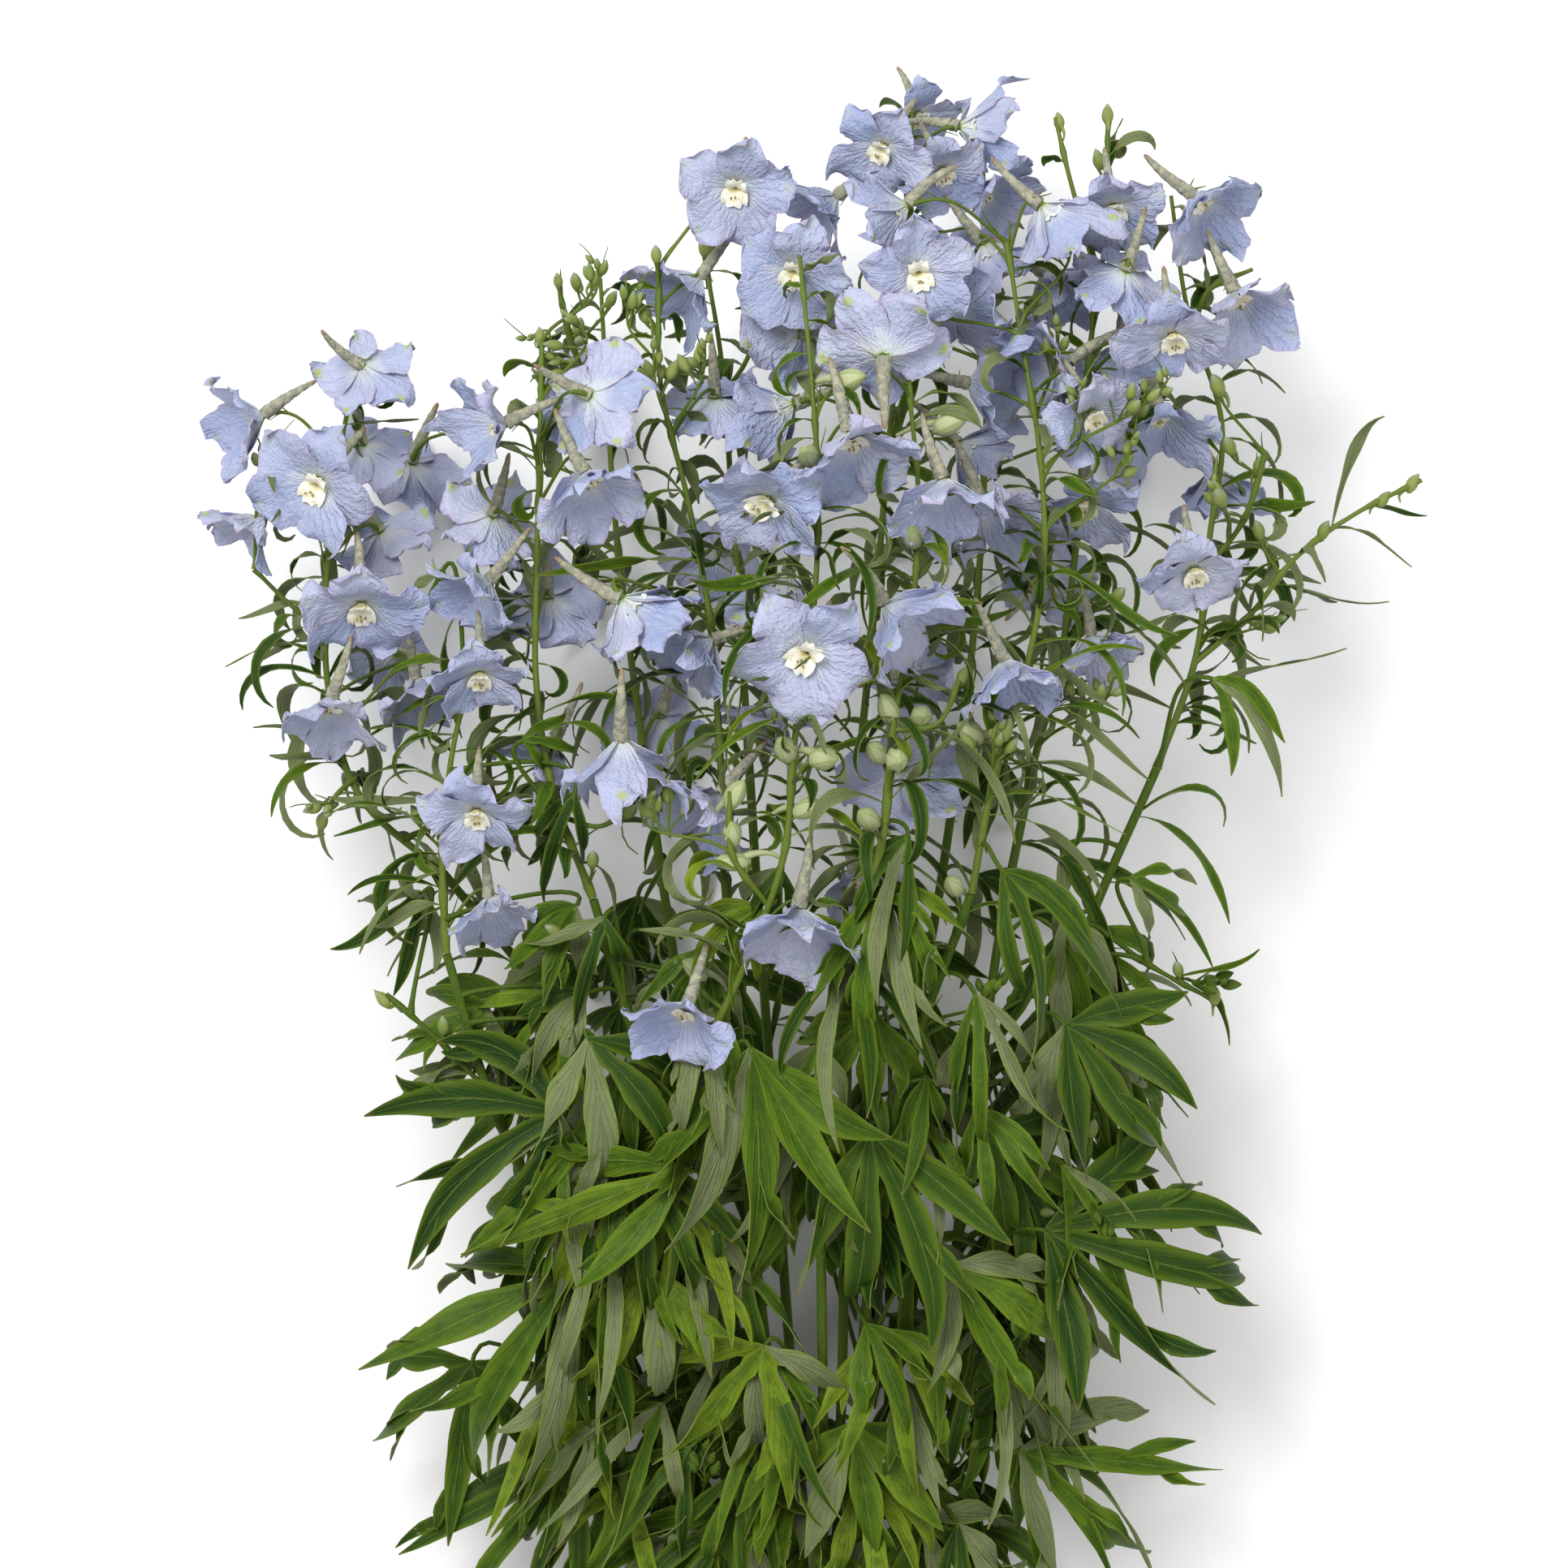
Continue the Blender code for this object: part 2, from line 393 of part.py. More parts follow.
def leaf_blade(hub, axis, normal, lobes, fan_deg, length, width, droop, grow):
    """A palmate leaf as one thin blade: pointed lobes that fan out from the hub and hang a little."""
    side = unit(np.cross(normal, axis))
    down = np.array([0.0, -1.0, 0.0])
    down -= normal * normal.dot(down)
    drop = -normal * 0.16
    angles = [math.radians(fan_deg * (k / (lobes - 1) - 0.5)) for k in range(lobes)]
    step = angles[1] - angles[0]
    top = [hub]
    for k in range(lobes + 1):
        turn = angles[0] + step * (k - 0.5)
        shrink = 1 - 0.30 * abs(turn / angles[-1]) ** 1.5
        reach = (0.20 if 0 < k < lobes else 0.10) * length * shrink
        top.append(hub + reach * (math.cos(turn) * axis + math.sin(turn) * side))
    faces, outline = [], [0]
    for k, turn in enumerate(angles):
        ahead = math.cos(turn) * axis + math.sin(turn) * side
        across = np.cross(normal, ahead)
        reach = length * (1 - 0.30 * abs(turn / angles[-1]) ** 1.5) + grow
        first = len(top)
        middle = hub + reach * (WIDEST * ahead + WIDEST**2 * (droop * down + drop))
        top.append(middle - across * (0.5 * width + grow))
        top.append(middle + across * (0.5 * width + grow))
        top.append(hub + reach * (ahead + droop * down + drop))
        low, high = 1 + k, 2 + k
        faces.append([0, low, high])
        faces.append([low, first, first + 1, high])
        faces.append([first, first + 2, first + 1])
        outline += [low, first, first + 2, first + 1]
    outline.append(1 + lobes)
    faces = [[face[0], *pair] for face in faces for pair in zip(face[1:-1], face[2:])]
    top = np.array(top) + normal * grow
    return thick(top, faces, outline, -normal * (LEAF_THICKNESS + 2 * grow))


class Space:
    """What is already placed, so that the next piece can be bent clear of it."""

    def __init__(self):
        self.placed = []

    def add(self, owner, mesh):
        points, faces = mesh
        tree = BVHTree.FromPolygons(points.tolist(), faces)
        self.placed.append((owner, points.min(axis=0), points.max(axis=0), tree))

    def clear(self, mesh, leave_out=()):
        points, faces = mesh
        low, high = points.min(axis=0), points.max(axis=0)
        if low[2] < CLEARANCE:
            return False
        tree = None
        for owner, other_low, other_high, other in self.placed:
            if owner in leave_out or (low > other_high).any() or (high < other_low).any():
                continue
            if tree is None:
                tree = BVHTree.FromPolygons(points.tolist(), faces)
            if tree.overlap(other):
                return False
        return True


class Axis:
    """A stem, flowering top or branch: its node, centre line and the radius along it."""

    def __init__(self, node, kind, path, radii):
        self.node = node
        self.kind = kind
        self.path = path
        self.radii = radii


def stem_axes():
    """The lower stem and the flowering top of each stem, then the side branches."""
    axes = []
    for name, (layer, slot, top_px, route) in STEMS.items():
        points = [place(x, y, depth(x, y, layer)) for x, y in route]
        side, up = slot[0] * STEM_PITCH, slot[1] * ROW_PITCH
        for y_px in (TIE_PX - 45, TIE_PX, TIE_PX + 45, CUT_PX):
            points.append(place(MIDDLE_PX[0], y_px, MIDDLE_Z[-1]) + (side, 0, up))
        curve = smooth(points, 8)
        split = place(0, top_px, 0)[1]
        upper = resample(curve[curve[:, 1] >= split], RACHIS_STEP)
        tie_top = points[-4][1]
        lower = resample(curve[(curve[:, 1] < split) & (curve[:, 1] >= tie_top)], STEM_STEP)
        lower = np.vstack([lower, points[-1:]])
        lower[0] = upper[-1] + unit(lower[0] - upper[-1]) * JOINT_GAP
        axes.append(Axis("spray_" + name, "rachis", upper, np.linspace(TIP_RADIUS, RACHIS_RADIUS, len(upper))))
        axes.append(Axis("stem_" + name, "stem", lower, np.linspace(RACHIS_RADIUS, STEM_RADIUS, len(lower))))
    stems = list(axes)
    for name, layer, route in BRANCHES:
        tip = [place(x, y, depth(x, y, layer)) for x, y in route]
        owner, root = min(
            ((axis, foot(axis, tip[0])) for axis in stems if axis.node.split("_", 1)[1] == name),
            key=lambda pair: np.linalg.norm(pair[1] - tip[0]),
        )
        lift = (root[2] - tip[0][2]) * np.linspace(1, 0, len(tip)) ** 2
        for point, more in zip(tip, lift):
            point[2] += more
        path = resample(smooth([root] + tip[1:], 8), BRANCH_STEP)
        axes.append(Axis(owner.node, "branch", path, np.linspace(BRANCH_RADIUS, TIP_RADIUS, len(path))))
    return axes


def foot(axis, point):
    """The point of the axis's centre line that is nearest."""
    a, b = axis.path[:-1], axis.path[1:]
    t = np.clip(((point - a) * (b - a)).sum(axis=1) / ((b - a) ** 2).sum(axis=1), 0.02, 0.98)
    feet = a + t[:, None] * (b - a)
    return feet[np.argmin(np.linalg.norm(feet - point, axis=1))]


def nearest_axis(axes, point, below):
    """The axis that carries a stalk ending at the point, and where the stalk leaves it."""
    wanted = point - np.array([0, below, 0])
    found = [(np.linalg.norm(foot(axis, wanted) - wanted), k) for k, axis in enumerate(axes)]
    axis = axes[min(found)[1]]
    return axis, foot(axis, wanted)


def tries(rng, steps, spread):
    """Small moves to try in turn: none, then ever wider ones, mostly in depth."""
    yield np.zeros(3), 0.0, 0.0
    for k in range(1, steps):
        reach = spread * k / steps
        yield (
            np.array([rng.uniform(-0.25, 0.25), rng.uniform(-0.25, 0.25), rng.uniform(-1, 1)]) * reach,
            rng.uniform(-1, 1) * 22 * k / steps,
            rng.uniform(-1, 1) * 22 * k / steps,
        )


def floret(axes, centre, turn, lift, spur_turn, size, grow):
    """The floret's mesh at a place, the number of its stalk's faces, and the axis that carries it."""
    face = toward(turn, lift)
    frame = floret_frame(face, spur_turn)
    cup = OPEN_CUP if abs(lift) > 34 else NODDING_CUP
    calyx = centre - face * size * 0.6 * (cup + 0.1)
    axis, root = nearest_axis(axes, calyx, 0.014)
    points, faces, stalk = floret_mesh(root, calyx, face, frame, size, cup, grow)
    return axis, (points, faces), stalk


def add_floret(space, axes, rng, centre, turn, lift, spur_turn, size, steps=60, spread=0.045):
    """Places a floret where it is clear of the others, as near to its wanted place as it can be."""
    for move, more_turn, more_lift in tries(rng, steps, spread):
        where = (axes, centre + move, turn + more_turn, lift + more_lift, spur_turn, size)
        axis, (points, faces), stalk = floret(*where, CLEARANCE)
        if not space.clear((points, faces[:-stalk])) or not space.clear((points, faces[-stalk:]), (axis,)):
            continue
        axis, mesh, _ = floret(*where, 0)
        space.add(None, mesh)
        return axis.node, [mesh]
    return None


def add_foot(space, axes, x_px, y_px, turn, size):
    """A floret that faces down, with the tips of its sepals on the surface."""
    centre = place(x_px, y_px, 0.02)
    where = (turn, -84, turn + 180, size, 0)
    centre[2] -= floret(axes, centre, *where)[1][0][:, 2].min()
    axis, mesh, _ = floret(axes, centre, *where)
    space.add(None, mesh)
    return axis.node, [mesh]


def add_bud(space, axes, rng, tip, length):
    for move, _, _ in tries(rng, 50, 0.030):
        at = tip + move
        axis, root = nearest_axis(axes, at, 0.016)
        out = at - root
        ahead = unit(unit(out) + np.array([0, 0.5 if length < LARGE_BUD else -0.35, 0.15]))
        base = at - ahead * length
        if not space.clear(bud_mesh(root, base, ahead, length, CLEARANCE), (axis,)):
            continue
        mesh = bud_mesh(root, base, ahead, length, 0)
        space.add(None, mesh)
        return axis.node, [mesh]
    return None


def leaf_stalk(root, hub, axis_way, normal, grow):
    """The long stalk from the stem into the leaf's blade."""
    reach = 0.4 * np.linalg.norm(hub - root)
    lift = root + reach * unit(hub - root + np.array([0, 0.02, 0]))
    back = hub - reach * axis_way
    end = hub + 0.0034 * axis_way - 0.30 * LEAF_THICKNESS * normal
    t = np.array([0, 0.5, 1])[:, None]
    path = (1 - t) ** 3 * root + 3 * (1 - t) ** 2 * t * lift + 3 * (1 - t) * t * t * back + t**3 * end
    return tube(path, [LEAF_STALK_RADIUS + grow] * 3, 3, 1.2)


def add_leaf(space, axes, rng, hub, turn, lift, shape):
    lobes, fan, length, width, droop = shape
    for move, more_turn, more_lift in tries(rng, 90, 0.035):
        at = hub + move
        axis, root = nearest_axis(axes, at, 0.045)
        ahead = toward(turn + more_turn, lift + more_lift)
        normal = toward(turn + 180, 90 - abs(lift) + more_lift)
        normal = unit(normal - ahead * normal.dot(ahead))
        stalk = leaf_stalk(root, at, ahead, normal, CLEARANCE)
        blade = leaf_blade(at, ahead, normal, lobes, fan, length, width, droop, CLEARANCE)
        if not space.clear(blade) or not space.clear(stalk, (axis,)):
            continue
        meshes = [leaf_blade(at, ahead, normal, lobes, fan, length, width, droop, 0)]
        meshes.append(leaf_stalk(root, at, ahead, normal, 0))
        for mesh in meshes:
            space.add(None, mesh)
        return axis.node, meshes
    return None


def add_flat_leaf(space, axes):
    """The leaf that lies flat on the surface and steadies the bunch."""
    x_px, y_px, lobes, fan, length, width = FLAT_LEAF
    hub = place(x_px, y_px, LEAF_THICKNESS)
    blade = leaf_blade(hub, toward(90, 0), toward(0, 90), lobes, fan, length / 1000, width / 1000, 0, 0)
    flat = blade[0]
    half = len(flat) // 2
    flat[:half, 2] = LEAF_THICKNESS
    flat[half:, 2] = 0
    axis, root = nearest_axis([axis for axis in axes if axis.node == "stem_back"], hub, 0.075)
    stalk = leaf_stalk(root, hub + (0, 0, 0.0009), toward(90, -6), toward(0, 90), 0)
    for mesh in (blade, stalk):
        space.add(None, mesh)
    return axis.node, [blade, stalk]


def arrange():
    """Every node's closed meshes: the axes first, then what they carry, each bent clear of the rest."""
    rng = random.Random(SEED)
    space = Space()
    axes = stem_axes()
    nodes = {axis.node: [] for axis in axes}
    for axis in axes:
        sides = {"rachis": 3, "stem": 4, "branch": 3}[axis.kind]
        mesh = tube(axis.path, axis.radii, sides)
        nodes[axis.node].append(mesh)
        space.add(axis, mesh)
    upper = [axis for axis in axes if axis.kind != "stem"]
    lower = [axis for axis in axes if axis.kind == "stem"]
    placed = [add_foot(space, upper, *spot[:3], spot[3] / 1000) for spot in FEET]
    placed.append(add_flat_leaf(space, axes))
    for x, y, layer, turn, lift, spur_turn, size in FLORETS:
        at = place(x, y, depth(x, y, 0.92 * layer))
        placed.append(add_floret(space, upper, rng, at, turn, lift, spur_turn, size / 1000))
    for x, y, layer, length in BUDS:
        placed.append(add_bud(space, axes, rng, place(x, y, depth(x, y, 0.95 * layer)), length / 1000))
    for x, y, layer, turn, lift, lobes, fan, length, width, droop in LEAVES:
        shape = (lobes, fan, length / 1000, width / 1000, droop)
        carriers = lower if y > 1100 else axes
        at = place(x, y, depth(x, y, layer))
        placed.append(add_leaf(space, carriers, rng, at, turn, lift, shape))
    for x, y, size in UNDER_FLORETS:
        turn = rng.uniform(0, 360)
        at = place(x, y, depth(x, y, -0.75))
        placed.append(add_floret(space, upper, rng, at, turn, -50, turn + 180, size / 1000, 60, 0.06))
    for node, meshes in filter(None, placed):
        nodes[node] += meshes
    return nodes, placed


def add_object(name, mesh):
    points, faces = mesh
    data = bpy.data.meshes.new(name)
    data.from_pydata(points.tolist(), [], faces)
    obj = bpy.data.objects.new(name, data)
    bpy.context.scene.collection.objects.link(obj)
    return obj


def drop_scraps(data):
    """Keeps the largest closed skin of a mesh, and drops loose scraps and sealed pockets that the union left."""
    mesh = bmesh.new()
    mesh.from_mesh(data)
    left, skins = set(mesh.faces), []
    while left:
        skin, open_faces = set(), [left.pop()]
        while open_faces:
            face = open_faces.pop()
            skin.add(face)
            for edge in face.edges:
                if len(edge.link_faces) == 2:
                    near = set(edge.link_faces) & left
                    left -= near
                    open_faces.extend(near)
        skins.append(skin)
    largest = max(skins, key=len)
    bmesh.ops.delete(mesh, geom=[face for face in mesh.faces if face not in largest], context="FACES")
    mesh.to_mesh(data)
    mesh.free()


def fuse(name, meshes, solver):
    """Joins a node's closed meshes into one body."""
    body = add_object(name, meshes[0])
    if len(meshes) == 1:
        return body
    group = bpy.data.collections.new(name + "_repeats")
    for mesh in meshes[1:]:
        repeat = add_object(name + "_repeat", mesh)
        bpy.context.scene.collection.objects.unlink(repeat)
        group.objects.link(repeat)
    union = body.modifiers.new("union", "BOOLEAN")
    union.operation = "UNION"
    union.operand_type = "COLLECTION"
    union.collection = group
    union.solver = solver
    graph = bpy.context.evaluated_depsgraph_get()
    fused = bpy.data.meshes.new_from_object(body.evaluated_get(graph))
    body.modifiers.clear()
    body.data = fused
    drop_scraps(fused)
    for repeat in list(group.objects):
        bpy.data.objects.remove(repeat)
    bpy.data.collections.remove(group)
    return body


def add_tie():
    """The elastic band: a flat-sided oval ring round the stems, with its underside on the surface."""
    inner_x = 2.5 * STEM_PITCH + STEM_RADIUS + TIE_GAP
    inner_z = ROW_PITCH + STEM_RADIUS + TIE_GAP
    outer_x, outer_z = inner_x + TIE_WALL, inner_z + TIE_WALL
    middle = place(MIDDLE_PX[0], TIE_PX, MIDDLE_Z[-1])
    corner_steps = 3
    points, loops = [], []
    for half_x, half_z, y in (
        (inner_x, inner_z, -TIE_WIDTH / 2),
        (inner_x, inner_z, TIE_WIDTH / 2),
        (outer_x, outer_z, TIE_WIDTH / 2),
        (outer_x, outer_z, -TIE_WIDTH / 2),
    ):
        loop = []
        for corner, (sign_x, sign_z) in enumerate(((1, 1), (-1, 1), (-1, -1), (1, -1))):
            for k in range(corner_steps + 1):
                turn = math.pi / 2 * (corner + k / corner_steps)
                centre_x = sign_x * (half_x - TIE_CORNER * half_z)
                centre_z = sign_z * (1 - TIE_CORNER) * half_z
                loop.append(len(points))
                offset = (
                    centre_x + TIE_CORNER * half_z * math.cos(turn),
                    y,
                    centre_z + TIE_CORNER * half_z * math.sin(turn),
                )
                points.append(middle + offset)
        loops.append(loop)
    faces = []
    for low, high in zip(loops, loops[1:] + loops[:1]):
        for k in range(len(low)):
            nxt = (k + 1) % len(low)
            faces.append([low[k], low[nxt], high[nxt], high[k]])
    return add_object("tie", (np.array(points), faces))


def add_material(name, colour, roughness):
    material = bpy.data.materials.new(name)
    material.use_nodes = True
    shader = material.node_tree.nodes["Principled BSDF"]
    shader.inputs["Base Color"].default_value = colour
    shader.inputs["Roughness"].default_value = roughness
    shader.inputs["Metallic"].default_value = 0
    return material


def main():
    for obj in list(bpy.data.objects):
        bpy.data.objects.remove(obj)
    blue = add_material("petal_blue", PETAL_BLUE, 0.6)
    green = add_material("leaf_green", STEM_GREEN, 0.55)
    elastic = add_material("elastic", TIE_COLOUR, 0.7)
    nodes, _ = arrange()
    for name, meshes in nodes.items():
        body = fuse(name, meshes, "MANIFOLD")
        body.data.materials.append(blue if name.startswith("spray") else green)
    add_tie().data.materials.append(elastic)


main()
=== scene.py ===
"""A tied bunch of light-blue delphiniums, laid on a pale floor and seen from straight above.

The first half lays the bunch out by the same rules as its solids, so each fine piece sits where its solid is.
The second half models the fine pieces: sepals, hearts, buds, stems and leaves.
"""

import json
import math
import random
from collections import namedtuple

import bpy
import numpy as np
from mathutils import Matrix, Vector
from mathutils.bvhtree import BVHTree

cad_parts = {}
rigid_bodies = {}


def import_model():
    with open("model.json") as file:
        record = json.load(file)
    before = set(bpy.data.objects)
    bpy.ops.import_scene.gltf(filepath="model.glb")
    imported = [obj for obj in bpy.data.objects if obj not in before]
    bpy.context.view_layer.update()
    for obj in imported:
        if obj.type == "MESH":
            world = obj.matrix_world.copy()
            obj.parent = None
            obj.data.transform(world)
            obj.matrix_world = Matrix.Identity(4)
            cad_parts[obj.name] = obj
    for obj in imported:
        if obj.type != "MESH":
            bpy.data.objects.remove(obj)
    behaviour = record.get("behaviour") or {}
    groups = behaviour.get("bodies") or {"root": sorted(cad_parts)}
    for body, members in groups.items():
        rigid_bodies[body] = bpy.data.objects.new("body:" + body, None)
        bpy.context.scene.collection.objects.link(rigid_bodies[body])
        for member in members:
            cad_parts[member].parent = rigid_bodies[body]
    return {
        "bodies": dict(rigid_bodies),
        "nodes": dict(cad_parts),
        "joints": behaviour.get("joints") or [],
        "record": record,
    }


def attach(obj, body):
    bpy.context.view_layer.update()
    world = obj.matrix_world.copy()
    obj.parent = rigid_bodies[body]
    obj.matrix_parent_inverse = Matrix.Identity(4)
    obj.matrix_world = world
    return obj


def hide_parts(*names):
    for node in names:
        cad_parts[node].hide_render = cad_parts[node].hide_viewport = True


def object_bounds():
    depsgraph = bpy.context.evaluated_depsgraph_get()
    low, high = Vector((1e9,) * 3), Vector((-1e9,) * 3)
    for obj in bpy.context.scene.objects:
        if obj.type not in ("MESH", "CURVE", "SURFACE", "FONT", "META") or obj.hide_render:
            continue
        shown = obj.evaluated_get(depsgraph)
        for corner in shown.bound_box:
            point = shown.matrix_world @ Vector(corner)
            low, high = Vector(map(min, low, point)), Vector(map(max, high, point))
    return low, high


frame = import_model()
CAD_BOX = [list(corner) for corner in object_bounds()]

# The sizes and places of the solids
PX = 0.00032  # one pixel of the reference view, on the bunch
MIDDLE_PX = (1010, 1294)
TIE_PX = 2290
CUT_PX = 2530
STEM_RADIUS = 0.0024
RACHIS_RADIUS = 0.0019
TIP_RADIUS = 0.0010
BRANCH_RADIUS = 0.0014
STALK_RADIUS = 0.0008
SPUR_RADIUS = 0.0014
CALYX = 0.11  # half the calyx's width, as a share of the sepal's length
LEAF_STALK_RADIUS = 0.0010
SEPAL_THICKNESS = 0.0007
LEAF_THICKNESS = 0.0008
STEM_PITCH = 0.0055
ROW_PITCH = 0.0050
JOINT_GAP = 0.0004
CLEARANCE = 0.0005
LARGE_BUD = 0.0125
RACHIS_STEP = 0.045
STEM_STEP = 0.062
BRANCH_STEP = 0.028
SEED = 7

# How high the bunch's middle lies, and how far it reaches above and below that, down its length
STATIONS_PX = (108, 300, 500, 1000, 1300, 1600, 1930, 2150, TIE_PX, CUT_PX)
MIDDLE_Z = (0.085, 0.096, 0.100, 0.100, 0.090, 0.070, 0.040, 0.018, 0.0095, 0.0095)
HALF_DEPTH = (0.045, 0.074, 0.092, 0.094, 0.080, 0.056, 0.030, 0.012, 0.005, 0.005)
HALF_WIDTH_PX = 760

# Each stem: layer from -1 (underside) to 1 (top side), place in the tie (column, row), the height where the
# flowering top begins, and its route from the tip down
STEMS = {
    "far_left": (0.15, (-2, 0), 1085, [
        (440, 430), (415, 560), (400, 700), (402, 850), (440, 980), (543, 1075), (650, 1200), (740, 1400),
        (850, 1700), (935, 2000),
    ]),
    "left_low": (0.50, (-1.5, 1), 1190, [
        (590, 800), (570, 860), (552, 978), (545, 1120), (570, 1270), (640, 1440), (752, 1660), (890, 1960),
    ]),
    "left_middle": (0.42, (-1, 0), 1110, [
        (668, 420), (665, 560), (662, 700), (660, 800), (668, 920), (703, 1039), (750, 1160), (810, 1380),
        (890, 1650), (965, 1980),
    ]),
    "left_back": (-0.72, (-1.5, -1), 930, [
        (735, 330), (742, 460), (752, 620), (772, 800), (800, 1000), (845, 1300), (905, 1650), (965, 2000),
    ]),
    "middle_left": (-0.10, (0, 0), 900, [
        (862, 285), (881, 365), (890, 470), (902, 620), (915, 820), (930, 1060), (950, 1350), (975, 1700),
        (1000, 2000),
    ]),
    "thick": (0.48, (-0.5, 1), 1060, [
        (812, 330), (818, 518), (850, 625), (872, 740), (885, 880), (892, 1060), (905, 1250), (925, 1500),
        (960, 1800), (990, 2050),
    ]),
    "spike": (0.10, (1, 0), 930, [
        (1125, 125), (1118, 300), (1100, 500), (1078, 750), (1055, 1000), (1045, 1300), (1040, 1650),
        (1030, 2000),
    ]),
    "front": (0.85, (-2.5, 1), 1330, [
        (985, 320), (1000, 480), (1008, 650), (995, 820), (970, 960), (966, 1050), (946, 1136), (893, 1232),
        (843, 1350), (832, 1498), (798, 1600), (765, 1720), (785, 1930), (900, 2140),
    ]),
    "front_low": (0.80, (0.5, 1), 1180, [
        (1118, 480), (1130, 620), (1122, 760), (1100, 880), (1092, 993), (1071, 1093), (1020, 1211),
        (1010, 1420), (1014, 1648), (1015, 1950),
    ]),
    "front_right": (0.62, (1.5, 1), 1110, [
        (1240, 300), (1262, 450), (1285, 620), (1275, 780), (1235, 910), (1212, 1010), (1190, 1130),
        (1160, 1240), (1110, 1330), (1078, 1480), (1066, 1700), (1052, 1980),
    ]),
    "right": (0.20, (1.5, -1), 950, [
        (1368, 140), (1365, 300), (1348, 398), (1338, 505), (1330, 640), (1310, 800), (1270, 960),
        (1225, 1200), (1195, 1450), (1160, 1650), (1120, 1830), (1075, 2060),
    ]),
    "far_right": (0.05, (2, 0), 950, [
        (1447, 235), (1462, 360), (1500, 480), (1516, 590), (1486, 690), (1476, 813), (1428, 947),
        (1378, 1060), (1322, 1200), (1279, 1350), (1225, 1560), (1158, 1830), (1098, 2060),
    ]),
    "back": (-0.74, (0.5, -1), 850, [
        (1215, 160), (1222, 400), (1212, 700), (1178, 1000), (1120, 1350), (1070, 1700), (1035, 2000),
    ]),
}

# Side branches, each from the stem named out to its tip, with the layer of the tip
BRANCHES = [
    ("far_right", 0.30, [
        (1477, 818), (1525, 775), (1570, 725), (1600, 685), (1650, 650), (1700, 612), (1755, 590),
    ]),
    ("far_right", 0.40, [(1462, 400), (1500, 345), (1545, 330)]),
    ("far_right", 0.30, [(1345, 1140), (1385, 1180), (1440, 1195), (1500, 1235)]),
    ("far_right", 0.30, [(1484, 700), (1530, 650), (1545, 600), (1560, 560)]),
    ("right", 0.40, [(1362, 330), (1330, 250), (1308, 190), (1302, 140)]),
    ("right", 0.50, [(1178, 1560), (1240, 1498), (1320, 1462), (1352, 1420), (1350, 1370)]),
    ("front_low", 0.85, [(1096, 900), (1130, 905), (1165, 880), (1180, 840)]),
    ("front", 0.95, [(950, 1120), (912, 1070), (893, 1020), (900, 975)]),
    ("front", 0.70, [(893, 1232), (862, 1215), (846, 1180)]),
    ("left_middle", 0.50, [(690, 1010), (725, 1020), (760, 1010), (785, 985)]),
    ("left_low", 0.50, [(600, 1350), (556, 1300), (520, 1262), (475, 1225)]),
    ("far_left", 0.40, [(430, 960), (408, 985), (395, 1010)]),
    ("far_left", 0.25, [(405, 780), (350, 740), (310, 700)]),
    ("left_back", -0.10, [(745, 520), (715, 450), (690, 380), (683, 335)]),
    ("middle_left", 0.20, [(890, 480), (925, 430), (940, 375)]),
    ("back", -0.20, [(1190, 930), (1212, 915), (1228, 890)]),
]

